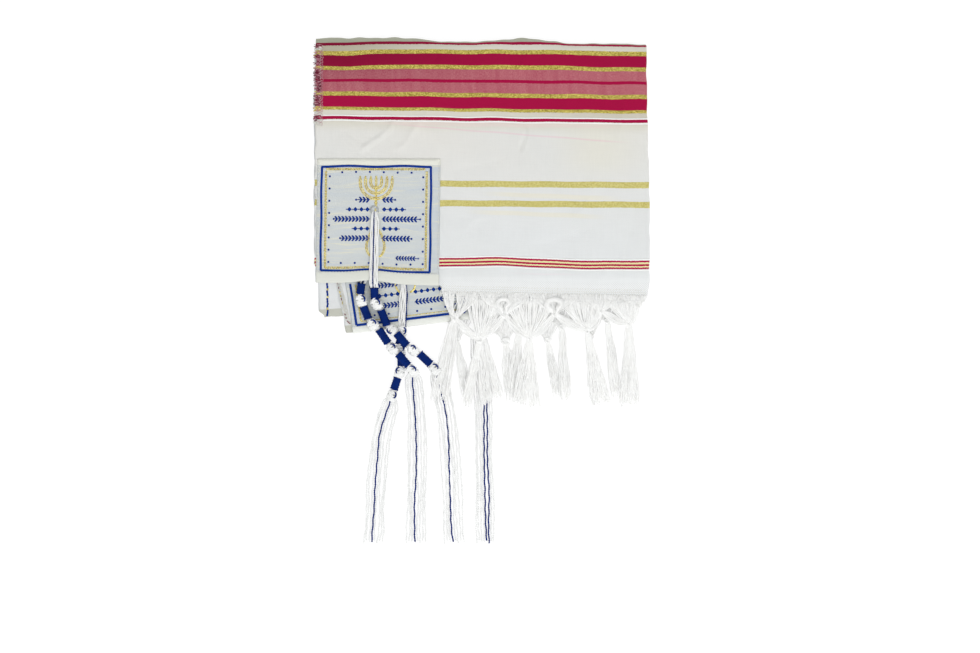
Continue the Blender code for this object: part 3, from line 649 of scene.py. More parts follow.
class Threads:
    """Collects tubes of thread, each with a material, into one mesh."""

    def __init__(self):
        self.points = []
        self.faces = []
        self.indices = []
        self.count = 0

    def frames(self, path):
        """Two directions square to the path at each of its points, turning as little as they can."""
        tangents = np.gradient(path, axis=0)
        tangents /= np.maximum(np.linalg.norm(tangents, axis=1, keepdims=True), 1e-9)
        start = np.cross(tangents[0], (0.0, 0.0, 1.0))
        if np.linalg.norm(start) < 0.1:
            start = np.cross(tangents[0], (0.0, 1.0, 0.0))
        normals = np.empty_like(path)
        normal = start / np.linalg.norm(start)
        for i, tangent in enumerate(tangents):
            normal = normal - tangent * np.dot(normal, tangent)
            normal /= max(np.linalg.norm(normal), 1e-9)
            normals[i] = normal
        return normals, np.cross(tangents, normals)

    def wrap(self, rings, index, closed=False):
        """Faces round a stack of rings. Its ends are joined where it is closed, and capped otherwise."""
        n, m = rings.shape[:2]
        grid = self.count + np.arange(n * m).reshape(n, m)
        after = np.roll(grid, -1, axis=1)
        faces = np.stack([grid[:-1], after[:-1], after[1:], grid[1:]], axis=2).reshape(-1, 4).tolist()
        if closed:
            faces += np.stack([grid[-1], after[-1], after[0], grid[0]], axis=1).tolist()
        else:
            faces += [grid[0][::-1].tolist(), grid[-1].tolist()]
        self.points.append(rings.reshape(-1, 3))
        self.faces.extend(faces)
        self.indices.extend([index] * len(faces))
        self.count += n * m

    def tube(self, path, radius, sides=5, index=0, flat=1.0, closed=False):
        """A tube round a path of points. radius is one value or one for each point."""
        path = np.asarray(path, dtype=float)
        radius = np.broadcast_to(np.asarray(radius, dtype=float), (len(path),))[:, None, None]
        normals, binormals = self.frames(path)
        angles = np.arange(sides) * 2 * math.pi / sides
        ring = np.cos(angles)[None, :, None] * normals[:, None, :]
        ring = ring + flat * np.sin(angles)[None, :, None] * binormals[:, None, :]
        self.wrap(path[:, None, :] + radius * ring, index, closed)

    def rope(self, path, radius, pitch=3.4, plies=2, index=0, sides=5, phase=0.0):
        """A cord of plies twisted round its path."""
        path = np.asarray(path, dtype=float)
        normals, binormals = self.frames(path)
        steps = np.linalg.norm(np.diff(path, axis=0), axis=1)
        length = distances(steps)
        for ply in range(plies):
            angle = (2 * math.pi * (length / pitch + ply / plies) + phase)[:, None]
            offset = normals * np.cos(angle) + binormals * np.sin(angle)
            self.tube(path + offset * radius * 0.46, radius * 0.56, sides, index)

    def dome(self, place, outline, height, index=0):
        """A low dome over a closed outline of (s, d) pairs, on the surface that place gives."""
        outline = np.asarray(outline, dtype=float)
        centre = outline.mean(axis=0)
        inner = centre + (outline - centre) * 0.62
        rings = [
            [place(s, d, 0.0) for s, d in outline],
            [place(s, d, height * 0.8) for s, d in inner],
            [place(centre[0], centre[1], height)],
        ]
        n = len(outline)
        first = self.count
        self.points.append(np.array([p for ring in rings for p in ring]))
        for i in range(n):
            j = (i + 1) % n
            self.faces.append([first + i, first + j, first + n + j, first + n + i])
            self.faces.append([first + n + i, first + n + j, first + 2 * n])
        self.faces.append([first + i for i in range(n)][::-1])
        self.indices.extend([index] * (2 * n + 1))
        self.count += 2 * n + 1

    def ribbon(self, place, route, width, height, index=0, step=1.2):
        """A flat raised line along a route of (s, d) pairs, on the surface that place gives."""
        route = resample(np.asarray(route, dtype=float), step)
        along = np.gradient(route, axis=0)
        along /= np.maximum(np.linalg.norm(along, axis=1, keepdims=True), 1e-9)
        aside = np.stack([-along[:, 1], along[:, 0]], axis=1)
        profile = ((-0.5, 0.0), (-0.42, 0.75), (0.0, 1.0), (0.42, 0.75), (0.5, 0.0))
        rows = []
        for centre, across in zip(route, aside):
            rows.append([place(*(centre + across * width * a), height * h) for a, h in profile])
        self.wrap(np.array(rows), index)

    def make(self, name, materials):
        return new_object(name, np.concatenate(self.points), self.faces, materials, indices=self.indices)


def resample(points, step):
    """Points along the same line, about step apart."""
    lengths = np.linalg.norm(np.diff(points, axis=0), axis=1)
    total = distances(lengths)
    count = max(2, int(math.ceil(total[-1] / step)) + 1)
    wanted = np.linspace(0, total[-1], count)
    return np.stack([np.interp(wanted, total, points[:, k]) for k in range(points.shape[1])], axis=1)


def curve_through(points, steps):
    """Points of a smooth curve through the given ones, with steps to each stretch."""
    p = np.asarray(points, dtype=float)
    p = np.vstack([2 * p[0] - p[1], p, 2 * p[-1] - p[-2]])
    t = (np.arange(steps) / steps)[:, None]
    parts = []
    for i in range(1, len(p) - 2):
        p0, p1, p2, p3 = p[i - 1], p[i], p[i + 1], p[i + 2]
        squared = 2 * p0 - 5 * p1 + 4 * p2 - p3
        cubed = 3 * p1 - p0 - 3 * p2 + p3
        parts.append(0.5 * (2 * p1 + (p2 - p0) * t + squared * t**2 + cubed * t**3))
    parts.append(p[-2][None, :])
    return np.vstack(parts)


def upper_patch_place(s, d, h):
    """A point of the upper patch: s across from its left edge, d up from its hem and h above its face."""
    x = PATCH_LEFT + s - 1.3 * (1 - d / PATCH_DEPTH)
    y = PATCH_HEM + d + hem_tilt(x) * np.exp(-d / 40) + hem_pull(x) * np.exp(-np.maximum(d, 0) / 15)
    z = upper_height(x, y, LEVEL_1 + PITCH)
    return np.array([x, y, float(z) + 0.3 + h])


def lower_patch_place(s, d, h):
    """A point of the patch on the third leaf, which lies askew and partly under the top leaf."""
    foot = LOWER_PATCH_LEFT + s
    y = hem_3(foot) + d
    x = foot - LOWER_PATCH_LEAN * d
    return np.array([x, y, float(lower_height(x, y, LEVEL_3 + PITCH)) + 0.3 + h])


def back_flare(x):
    """How far the turned-down back edge stands out at x."""
    left = smooth((x + 138) / 12) * smooth((-42 - x) / 12)
    middle = bump(x - 38, 29)
    flare = 2.0 * left + 3.8 * middle + 0.5 * bump(x - 96, 9)
    return flare + 0.3 * np.sin(x / 4.3) + 0.25 * np.sin(x / 2.4 + 1)


def make_upper_leaves(material):
    """The top leaf, the fold at its right and the leaf under it, turned down together over the back."""
    over = np.linspace(0, 1, 196)
    under = np.linspace(1, 0, 36)
    arc = np.radians(np.linspace(75, -75, 6))
    rows = np.linspace(0, 1, 150)
    turn = np.linspace(8, 90, 12)
    radius = PITCH / 2
    middle = LEVEL_1 - radius

    def section(y):
        left, fold = left_1(y), fold_1(y)
        wander = 0.35 * np.sin(y / 3.7) + 0.25 * np.sin(y / 1.9 + 1.0)
        fold = fold + 0.25 * np.sin(y / 5.2) + 0.15 * np.sin(y / 2.6 + 2.0)
        xs = np.concatenate(
            [
                left + wander + over * (fold - left - wander),
                fold + radius * np.cos(arc),
                left + 1.5 + under * (fold - left - 1.5),
            ]
        )
        levels = np.concatenate(
            [np.full(len(over), LEVEL_1 + 0.1), middle + radius * np.sin(arc), np.full(len(under), LEVEL_2)]
        )
        top = smooth((levels - LEVEL_2) / PITCH)
        return xs, levels, top

    grid, uv = [], []
    for t in rows:
        xs, levels, top = section(BACK_LINE * t)
        front = hem_1(xs) + (1 - top) * (1 - t)
        ys = front + (back_line(xs) - front) * t
        zs = upper_height(xs, ys, levels, top)
        grid.append(np.stack([xs, ys, zs], axis=1))
        across = distances(np.hypot(np.diff(xs), np.diff(levels)))
        uv.append(np.stack([across, weft(xs, ys)], axis=1))
    xs, levels, top = section(BACK_LINE)
    ys = back_line(xs)
    zs = upper_height(xs, ys, levels, top)
    reach = levels - BACK_INSIDE
    for angle in turn:
        a = math.radians(angle)
        y = ys + reach * math.sin(a) + back_flare(xs) * 0.6 * math.sin(a) ** 3
        z = BACK_CENTRE + (zs - BACK_CENTRE) * math.cos(a)
        grid.append(np.stack([xs, y, z], axis=1))
        uv.append(np.stack([across, weft(xs, ys) + reach * a], axis=1))
    for z, inset in ((4.6, 0.05), (3.2, 0.1), (2.0, 0.2), (1.0, 0.6)):
        y = ys + reach - inset + back_flare(xs) * smooth((5.5 - z) / 3.5)
        edge = z + 0.25 * np.sin(xs / 9.0)
        grid.append(np.stack([xs, y, edge], axis=1))
        uv.append(np.stack([across, weft(xs, ys) + reach * math.pi / 2 + BACK_CENTRE - z], axis=1))
    grid, uv = np.array(grid), np.array(uv)
    obj = cloth_sheet("upper_cloth", grid, uv, material)
    finish_piece(obj, ["upper_leaves"])
    return obj


def make_lower_leaves(material):
    """The third leaf, its fold and the fourth leaf, which come down on the table in front of the pack."""
    over = np.linspace(0, 1, 110)
    under = np.linspace(1, 0, 90)
    arc = np.radians(np.linspace(75, -75, 6))
    radius = PITCH / 2
    middle = LEVEL_3 - radius
    grid, uv = [], []

    def section(y):
        left, fold = left_3(y), fold_3(y)
        wander = 0.4 * np.sin(y / 2.9) + 0.2 * np.sin(y / 1.3)
        xs = np.concatenate(
            [
                left + wander + over * (fold - left - wander),
                fold + radius * np.cos(arc),
                left_4(y) + under * (fold - left_4(y)),
            ]
        )
        levels = np.concatenate(
            [np.full(len(over), LEVEL_3), middle + radius * np.sin(arc), np.full(len(under), LEVEL_4)]
        )
        return xs, levels

    def add(xs, ys, levels):
        zs = lower_height(xs, ys, levels)
        grid.append(np.stack([xs, ys, zs], axis=1))
        across = distances(np.hypot(np.diff(xs), np.diff(levels)))
        hem = np.where(levels > middle, hem_3(xs), hem_4(xs))
        uv.append(np.stack([across, ys - hem + PLAIN], axis=1))

    for t in np.linspace(0, 1, 46):
        xs, levels = section(-25 + (DROP_TOP + 25) * t)
        share = smooth((levels - middle) / GAP + 0.5)
        front = hem_4(xs) + (hem_3(xs) - hem_4(xs)) * share
        frill = 0.25 * np.sin(xs / 2.3 + 0.7 * np.sin(xs / 11.0)) * (1 - smooth(t / 0.08))
        add(xs, front + (DROP_TOP - front) * t + frill, levels)
    for y in np.concatenate([np.linspace(12, 30, 10), np.linspace(40, BACK_LINE - 8, 12)]):
        xs, levels = section(y)
        add(xs, np.full(xs.shape, y), levels)
    grid, uv = np.array(grid), np.array(uv)
    obj = cloth_sheet("lower_cloth", grid, uv, material)
    finish_piece(obj, ["lower_leaves"])
    return obj


def make_stack(material):
    """The hidden layers: doubled cloth, back and forth six times, its fold right and its selvages left."""
    runs = 6
    pitch = 1.36
    half = 0.5
    bottom = 0.56
    slit = 9.0
    # how far each run's right fold, left selvage, front and back stand out, from the table up
    shifts = ((-0.9, 0.6, 0.0, -0.4), (0.4, -0.8, 0.7, 0.2), (-0.3, 0.9, -0.5, 0.5))
    shifts += ((0.8, -0.4, 0.4, -0.3), (-0.6, 0.5, -0.2, 0.4), (0.3, -0.7, 0.6, 0.0))
    columns = np.linspace(0, 1, 46)
    round_end = np.radians(np.linspace(60, -60, 5))
    grid, uv = [], []
    length = 0.0
    for k in range(runs):
        right_shift, left_shift, front_shift, back_shift = shifts[k]
        forward = k % 2 == 0
        z = bottom + k * pitch
        front = STACK_FRONT + 1.6 + front_shift
        back = BACK_LINE + 0.4 + back_shift
        stations = [(y, z, 0.0, 1.0) for y in np.linspace(front, back, 34)]
        if not forward:
            stations = [(y, z, 0.0, -1.0) for y in np.linspace(back, front, 34)]
        if k < runs - 1:
            end = stations[-1][0]
            sign = 1.0 if forward else -1.0
            for angle in np.radians(np.linspace(-70, 70, 7)):
                turn_y = end + sign * pitch / 2 * math.cos(angle)
                turn_z = z + pitch / 2 * (1 + math.sin(angle))
                stations.append((turn_y, turn_z, sign * math.cos(angle), 0.0 - sign * math.sin(angle)))
        for y, height, ny, nz in stations:
            norm = math.hypot(ny, nz)
            ny, nz = ny / norm, nz / norm
            fade = smooth((y - 40) / 150)
            left = -139.9 + left_shift + 0.8 * math.sin(y / 13 + k) + 0.4 * math.sin(y / 4.1 + 2 * k)
            right = 133.2 + right_shift + 0.5 * math.sin(y / 19 + 1.7 * k) - 1.6 * fade
            skew = -BACK_SKEW * smooth((y - 150) / 54)
            face = left + columns * (right - half - left)
            turned = right - half + half * np.cos(round_end)
            xs = np.concatenate([face, turned, face[::-1], [left, left + slit, left]])
            out = np.full(len(columns), half)
            normal = np.concatenate([out, half * np.sin(round_end), -out, [-0.1, 0.0, 0.1]])
            ys = y + ny * normal + skew * (xs + HALF_LEAF) / LEAF_WIDTH
            zs = height + nz * normal
            grid.append(np.stack([xs, ys, np.maximum(zs * swell(xs, ys), 0.02)], axis=1))
            uv.append(np.stack([xs + HALF_LEAF, np.full(xs.shape, 400.0 + length)], axis=1))
            length += 5.4
    grid, uv = np.array(grid), np.array(uv)
    rows, columns_all = grid.shape[:2]
    index = np.arange(rows * columns_all).reshape(rows, columns_all)
    after = np.roll(index, -1, axis=1)
    faces = np.stack([index[:-1], index[1:], after[1:], after[:-1]], axis=2).reshape(-1, 4).tolist()
    faces.append(index[0].tolist())
    faces.append(index[-1][::-1].tolist())
    obj = new_object("folded_stack", grid.reshape(-1, 3), faces, [material], uv.reshape(-1, 2))
    finish_piece(obj, ["folded_layers"])
    return obj


def make_patch(name, place, depth, hem, material, replaced):
    """A patch: a thin sheet on its leaf, thicker along its foot where its hem is turned."""
    s = np.linspace(0, PATCH_WIDTH, 90)
    d = np.concatenate([np.linspace(-0.7, hem + 1.2, 16), np.linspace(hem + 2, depth, int(depth * 0.8))])
    grid = []
    for up in d:
        share = (up + 0.7) / (hem + 0.7)
        bulge = 0.55 * math.sin(math.pi * share**0.8) ** 0.6 if 0 < share < 1 else 0.0
        row = []
        for across in s:
            wave = 1 + 0.25 * math.sin(across / 5.0) + 0.18 * math.sin(across / 2.1 + 1)
            rim = max(0.0, 1 - min(across, PATCH_WIDTH - across, depth - up) / 2.5) if up > hem + 1 else 0.0
            row.append(place(across, up, bulge * wave - 0.25 - 0.7 * rim * rim))
        grid.append(row)
    uv = np.array([[(across, up) for across in s] for up in d])
    obj = cloth_sheet(name, np.array(grid), uv, material, 0.5)
    finish_piece(obj, [replaced])
    return obj


def dashes(threads, place, start, end, length, gap, width, height, index):
    """A row of short raised stitches between two (s, d) places."""
    start, end = np.array(start, dtype=float), np.array(end, dtype=float)
    total = np.linalg.norm(end - start)
    along = (end - start) / total
    at = 0.0
    while at + length < total:
        ends = [start + along * at, start + along * (at + length)]
        threads.ribbon(place, ends, width, height, index, length / 2)
        at += length + gap


def disc(s, d, radius, sides=8, squash=1.0, turn=0.0):
    """A closed outline of a round or oval dot."""
    angles = np.arange(sides) * 2 * math.pi / sides
    x, y = radius * np.cos(angles), radius * squash * np.sin(angles)
    c, e = math.cos(turn), math.sin(turn)
    return np.stack([s + x * c - y * e, d + x * e + y * c], axis=1)


def menorah(threads, place, centre, top, foot, index):
    """A plain seven-branched lamp in double rows of gold stitches, on two curved legs."""
    low = top - 16.7
    shoulder = top - 3.0
    bend = np.radians(np.linspace(180, 360, 20))
    for radius in (13.3, 8.9, 4.5):
        for r in (radius + 0.7, radius - 0.7):
            route = [(centre - r, top), (centre - r, shoulder)]
            route += [(centre + r * math.cos(a), shoulder + r * math.sin(a)) for a in bend]
            route += [(centre + r, top)]
            threads.ribbon(place, route, 0.95, 0.28, index, 0.9)
    for side in (-0.55, 0.55):
        threads.ribbon(place, [(centre + side, top), (centre + side, foot + 4)], 0.8, 0.28, index, 0.9)
    for k in range(-3, 4):
        s = centre + k * 4.45
        threads.dome(place, disc(s, top + 1.5, 0.8, 8, 1.6), 0.4, index)
        threads.ribbon(place, [(s - 1.3, top), (s + 1.3, top)], 0.7, 0.32, index, 0.8)
    for level in (low - 3.0, low - 6.5):
        threads.dome(place, disc(centre, level, 1.5, 10, 0.6), 0.45, index)
    for side in (-1, 1):
        for out in (0.0, 1.2):
            curve = [(1.2, 26.0), (5.2, 20.0), (7.6, 13.0), (8.0, 7.5), (5.4, 2.0), (1.4, 0.4)]
            arm = [(centre + side * (reach - out), foot + rise) for reach, rise in curve]
            threads.ribbon(place, curve_through(arm, 6), 0.85, 0.28, index, 0.9)


def laurel(threads, place, start, end, d, index, size=1.0):
    """A straight stem from start to end with pairs of leaves that point along it."""
    way = 1 if end > start else -1
    threads.ribbon(place, [(start, d), (end, d)], 0.65 * size, 0.32, index, 1.2)
    for k in range(int(abs(end - start) / (2.9 * size))):
        s = start + way * (1.0 + 2.9 * k) * size
        for side in (-1, 1):
            leaf = disc(s + way * 1.0 * size, d + side * 1.25 * size, 1.75 * size, 8, 0.45, side * way * 0.75)
            threads.dome(place, leaf, 0.4, index)
    threads.dome(place, disc(end + way * 1.0, d, 0.9 * size, 8), 0.42, index)


def lozenges(threads, place, start, end, d, index):
    """A chain of lozenges with a dot between each two."""
    way = 1 if end > start else -1
    for k in range(int(abs(end - start) / 5.0)):
        s = start + way * (2.0 + 5.0 * k)
        threads.dome(place, [(s - 2.0, d), (s, d - 2.0), (s + 2.0, d), (s, d + 2.0)], 0.42, index)
        threads.dome(place, disc(s + way * 2.5, d, 0.55, 6), 0.36, index)


def dot(threads, place, s, d):
    """A round navy dot of raised stitches."""
    threads.dome(place, disc(s, d, 0.95), 0.42, 0)


def ornament_rows(threads, place, centre, gap, rows):
    """Rows of laurel and lozenges by turns, on both sides of the lamp. Each is its d and its two reaches."""
    for number, (d, reach_left, reach_right) in enumerate(rows):
        draw = lozenges if number % 2 else laurel
        draw(threads, place, centre - gap, centre - reach_left, d, 0)
        draw(threads, place, centre + gap, centre + reach_right, d, 0)


def decorate_upper_patch(place, navy, gold, thread):
    """Borders, dots, the lamp and rows of small ornament, all raised stitches on the upper patch."""
    t = Threads()
    left, right, low, high = 3.8, 94.9, 9.4, 96.1
    across = np.linspace(0, 1, 40)
    wave = 0.45 * np.cos(4 * math.pi * across)
    for d, share in ((high, -1.0), (low, 0.35)):
        line = np.stack([left + (right - left) * across, d + share * wave], axis=1)
        t.ribbon(place, line, 1.9, 0.42, 0, 1.4)
    for s, share in ((left, 0.5), (right, -0.5)):
        line = np.stack([s + share * wave, low + (high - low) * across], axis=1)
        t.ribbon(place, line, 1.9, 0.42, 0, 1.4)
    inner = 3.6
    box = (left + inner, right - inner, low + 2.4, high - 2.3)
    for shift in (-0.5, 0.5):
        for s in (box[0], box[1]):
            dashes(t, place, (s + shift, box[2]), (s + shift, box[3]), 2.0, 0.3, 0.8, 0.32, 1)
        for d in (box[2], box[3]):
            dashes(t, place, (box[0], d + shift), (box[1], d + shift), 2.0, 0.3, 0.8, 0.32, 1)
    for k in range(6):
        dot(t, place, 20.9 + 11.55 * k, 91.2 + 0.3 * math.sin(k))
        dot(t, place, 20.7 + 11.6 * k, 15.4 + 0.4 * math.cos(k))
    for k in range(8):
        d = 87.8 - 10.17 * k
        dot(t, place, 10.6 - 0.06 * k, d)
        dot(t, place, 88.4 + 0.06 * k, d - 0.6)
    centre = 49.3
    menorah(t, place, centre, 85.6, 20.0, 1)
    rows = (
        (68.4, 15.5, 15.0),
        (60.4, 28.5, 29.5),
        (52.4, 34.0, 36.0),
        (44.4, 22.5, 22.0),
        (36.4, 28.5, 29.0),
    )
    ornament_rows(t, place, centre, 5.0, rows)
    laurel(t, place, 66.0, 84.0, 20.4, 0, 0.8)
    # The seam that holds the patch down
    near, far, foot = 1.0, 101.4, 12.0
    for start, end in (((near, foot), (near, far)), ((far, foot), (far, far)), ((near, far), (far, far))):
        dashes(t, place, start, end, 1.7, 0.9, 0.45, 0.25, 2)
    dashes(t, place, (0.5, 8.4), (102.0, 8.4), 1.7, 0.9, 0.5, 0.8, 2)
    return finish_piece(t.make("patch_stitching_1", [navy, gold, thread]))


def decorate_lower_patch(place, navy, gold, thread):
    """The part of the second patch's ornament that shows below the top leaf."""
    t = Threads()
    left, right, low, high = 3.8, 94.7, 5.6, 40.0
    corner = (left, low)
    for start, end in ((corner, (left, high)), (corner, (right, low)), ((right, low), (right, high - 8))):
        t.ribbon(place, [start, end], 2.0, 0.42, 0, 1.6)
    dashes(t, place, (left + 4.3, low + 3.0), (left + 4.3, high), 2.0, 0.35, 1.4, 0.3, 1)
    dashes(t, place, (right - 4.3, low + 3.0), (right - 4.3, high - 8), 2.0, 0.35, 1.4, 0.3, 1)
    dashes(t, place, (left + 4.3, low + 2.6), (right - 4.3, low + 2.6), 2.0, 0.35, 0.8, 0.3, 1)
    for k in range(6):
        dot(t, place, 20.0 + 11.8 * k, 11.6 + 0.4 * math.cos(k))
    for k in range(3):
        dot(t, place, 12.4, 14.0 + 10.0 * k)
        dot(t, place, 87.6, 13.0 + 10.0 * k)
    centre = 49.0
    ornament_rows(t, place, centre, 5.5, ((18.8, 21.0, 30.0), (27.2, 30.0, 31.0), (35.6, 28.0, 33.0)))
    curve = ((7.6, 38.0), (8.0, 33.5), (6.6, 29.5), (3.0, 27.0))
    for side in (-1, 1):
        arm = [(centre + side * reach, d) for reach, d in curve]
        t.ribbon(place, curve_through(arm, 6), 1.5, 0.3, 1, 0.9)
    return finish_piece(t.make("patch_stitching_3", [navy, gold, thread]))


def make_eyelet(place, thread):
    """Buttonhole stitches round the eyelet."""
    t = Threads()
    centre_s, centre_d = EYELET[0] - PATCH_LEFT, EYELET[1] - PATCH_HEM + 0.3
    stitches = 30
    for k in range(stitches):
        angle = 2 * math.pi * k / stitches
        c, e = math.cos(angle), math.sin(angle)
        jitter = 0.25 * math.sin(k * 2.3)
        path = []
        for radius, height in ((2.0, -0.1), (2.2, 0.45), (2.8, 0.75), (3.4, 0.55), (3.7 + jitter, 0.05)):
            path.append(place(centre_s + radius * c, centre_d + radius * e, height))
        t.tube(path, 0.27, 5)
    ring = np.radians(np.linspace(0, 360, 40, endpoint=False))
    inner = [place(centre_s + 2.15 * math.cos(a), centre_d + 2.15 * math.sin(a), 0.3) for a in ring]
    t.tube(inner, 0.34, 6, closed=True)
    return finish_piece(t.make("eyelet_stitches", [thread]), ["eyelet_1"])


def winding(threads, start, end, rng):
    """Turns of the navy strand round the tassel, from start to end."""
    start, end = np.array(start, dtype=float), np.array(end, dtype=float)
    axis = end - start
    length = np.linalg.norm(axis)
    axis /= length
    side = np.cross(axis, (0.0, 0.0, 1.0))
    side /= np.linalg.norm(side)
    up = np.cross(side, axis)
    turns = int(length / (WINDING_THREAD * 1.75))
    t = np.linspace(0, 1, turns * 14)
    angle = 2 * math.pi * turns * t + rng.uniform(0, 6)
    swelling = 1 + 0.045 * np.sin(2 * math.pi * turns * t / 3.1) + 0.03 * np.sin(angle * 0.37 + 1)
    swelling = swelling + 0.10 * (bump(t, 0.06) + bump(t - 1, 0.06))
    radius = (WINDING_RADIUS - WINDING_THREAD) * swelling
    path = start + axis * (length * t)[:, None]
    path = path + side * (WINDING_BREADTH * radius * np.cos(angle))[:, None]
    path = path + up * (radius * np.sin(angle))[:, None]
    path[:, 2] = np.maximum(path[:, 2], WINDING_THREAD + 0.1)
    threads.tube(path, WINDING_THREAD, 5, 1)
    core = np.linspace(0, 1, 8)[:, None] * (end - start) + start
    breadth = (WINDING_RADIUS - WINDING_THREAD) * 0.96 * WINDING_BREADTH
    threads.tube(core, breadth, 12, 1, flat=1 / WINDING_BREADTH)


def cord_knot(threads, centre, heading, rng):
    """A double knot of white cords with the navy strand bent round one side of its upper loop."""
    centre = np.array(centre, dtype=float)
    heading = np.array(heading, dtype=float)
    heading /= np.linalg.norm(heading)
    side = np.cross(heading, (0.0, 0.0, 1.0))
    side /= np.linalg.norm(side)
    if side[0] < 0:
        side = -side
    up = np.array([0.0, 0.0, 1.0])
    lean = rng.uniform(-0.35, 0.35)
    hand = 1.0 if rng.random() < 0.75 else -1.0
    stretch = rng.uniform(1.0, 1.2)

    def lay(along, across, rise, radius, index, closed=False):
        across = across * hand * 1.18 + lean * along * 0.35
        path = centre + heading * (along * stretch)[:, None] + side * across[:, None] + up * rise[:, None]
        path[:, 2] = np.maximum(path[:, 2], 0.95)
        threads.tube(path, radius, 7, index, closed=closed)

    ring = np.linspace(0, 2 * math.pi, 26, endpoint=False)
    wraps = ((-3.0, 0.3, 2.5), (-1.6, -0.5, 3.0), (0.2, 0.4, 3.1), (2.0, -0.3, 3.0), (3.3, 0.4, 2.5))
    for shift, tilt, reach in wraps:
        reach = reach + rng.uniform(-0.2, 0.2)
        rise = reach * 0.85 * np.sin(ring)
        lay(shift + tilt * 1.2 * np.sin(ring), reach * np.cos(ring), rise, 0.95, 0, True)
    # the upper loop, open to one side, in cords that lie against each other
    turn = np.linspace(math.radians(205), math.radians(-25), 18)
    for k in range(3):
        reach = 0.75 + 0.85 * k + rng.uniform(-0.08, 0.08)
        rise = KNOT_SIZE * 0.78 + 0.55 * np.cos(reach * 0.45) - 0.16 * reach + 0.12 * np.sin(turn * 2)
        lay(-0.9 + 1.25 * reach * np.cos(turn), 0.5 - reach * np.sin(turn), rise, 0.6, 0)
    turn = np.linspace(math.radians(160), math.radians(380), 16)
    reach = 2.05
    rise = KNOT_SIZE * 0.78 + 0.2 + 0.2 * np.sin(turn)
    width = np.interp(np.arange(16), (0, 3, 11, 15), (0.3, 0.75, 0.7, 0.35))
    lay(-0.7 + 1.15 * reach * np.cos(turn), 0.75 - reach * np.sin(turn), rise, width, 1)
    # the cords that cross below it
    across = np.linspace(-3.0, 3.0, 14)
    for k in range(3):
        along = 1.5 + 0.85 * k + (0.28 + 0.1 * lean) * across + 0.2 * np.sin(across)
        rise = KNOT_SIZE * 0.5 + 1.5 * np.cos(across / 3.0 * 1.3) - 0.22 * k
        lay(along, across, rise, 0.62, 0)
    threads.tube(np.array([centre - heading * 3.8, centre, centre + heading * 3.8]), KNOT_SIZE * 0.62, 10, 0)


def lead_cords(threads, lead, beside, rng):
    """The cords from the eyelet to the first knot. beside gives each one's offset, thread and rise."""
    path = curve_through(lead, 7)
    n = np.arange(len(path))
    for offset, index, rise in beside:
        wobble = 0.22 * np.sin(n * 0.33 + offset * 3) + 0.08 * np.sin(n * 0.9 + offset * 7)
        strand = path.copy()
        strand[:, 0] += offset * np.interp(n, (0, 12), (0.5, 1.0)) + wobble
        strand[:, 2] += rise + 0.1
        radius = 0.66 if index else CORD_RADIUS
        threads.rope(resample(strand, 0.8), radius, 3.2, 2, index, 6, rng.uniform(0, 6))


def free_strands(threads, start, heading, end_x, spread, sway, level, rng, navy):
    """The eight strands below the last knot, a little wavy, with soft cut ends. navy lists the navy ones."""
    start = np.array(start, dtype=float)
    aside = np.array([-heading[1], heading[0], 0.0])
    swings = ((0.0, 0.0), (0.2, 0.9), (0.38, 1.0), (0.58, 0.7), (0.75, 0.4), (0.9, 0.1), (1.0, 0.0))
    for k in range(STRANDS):
        offset = k - (STRANDS - 1) / 2
        near = start + np.array([heading[0] * 9, heading[1] * 9, 0.0]) + aside * offset * 1.95
        near[2] = level + rng.uniform(-0.1, 0.5)
        foot = np.array([end_x + offset * spread, STRAND_END + 0.4 + 2.4 * abs(math.sin(k * 1.9)), level])
        length = foot[1] - near[1]
        route = [start + aside * offset * 0.4]
        for share, swing in swings:
            x = near[0] + (foot[0] - near[0]) * share**0.8 + sway * swing
            wave = rng.uniform(-0.8, 0.8) if 0 < share < 1 else 0.0
            route.append((x + wave, near[1] + length * share, level + (near[2] - level) * (1 - share)))
        path = resample(curve_through(route, 8), 1.0)
        path[:, 0] += 0.22 * np.sin(np.arange(len(path)) * 0.55 + k)
        index = 1 if k in navy else 0
        threads.rope(path, CORD_RADIUS, 3.3, 2, index, 5, rng.uniform(0, 6))
        end = path[-1]
        for _ in range(5):
            tip = end + np.array([rng.uniform(-0.7, 0.7), -rng.uniform(0.2, 0.8), rng.uniform(-0.3, 0.3)])
            tip[1] = max(tip[1], STRAND_END - 0.2)
            threads.tube([end + (0, 1.0, 0), tip], 0.13, 3, index)


TASSEL_1 = (
    Station(-90.7, 3.2, 12.2, "start"),
    Station(-90.2, -6.0, 9.3, "end"),
    Station(-89.2, -10.0, 9.0, "knot"),
    Station(-85.2, -15.6, 7.8, "start"),
    Station(-80.2, -28.4, 7.2, "end"),
    Station(-76.2, -32.1, 8.4, "knot"),
    Station(-72.1, -35.2, 10.6, "start"),
    Station(-63.4, -45.0, 10.6, "end"),
    Station(-58.6, -48.8, 8.8, "knot"),
    Station(-53.2, -51.9, 5.4, "start"),
    Station(-44.0, -60.6, 3.6, "end"),
    Station(-40.4, -64.6, 3.9, "knot"),
)
TASSEL_2 = (
    Station(-101.2, 6.8, 11.0, "start"),
    Station(-102.5, -2.0, 9.6, "end"),
    Station(-101.7, -7.2, 9.0, "knot"),
    Station(-99.8, -12.6, 8.0, "start"),
    Station(-95.8, -22.8, 7.6, "end"),
    Station(-92.1, -27.4, 8.5, "knot"),
    Station(-86.9, -31.6, 7.8, "start"),
    Station(-79.4, -43.0, 7.0, "end"),
    Station(-76.0, -47.6, 8.4, "knot"),
    Station(-70.8, -52.0, 10.2, "start"),
    Station(-62.4, -61.8, 10.1, "end"),
    Station(-59.0, -66.0, 9.6, "knot"),
)
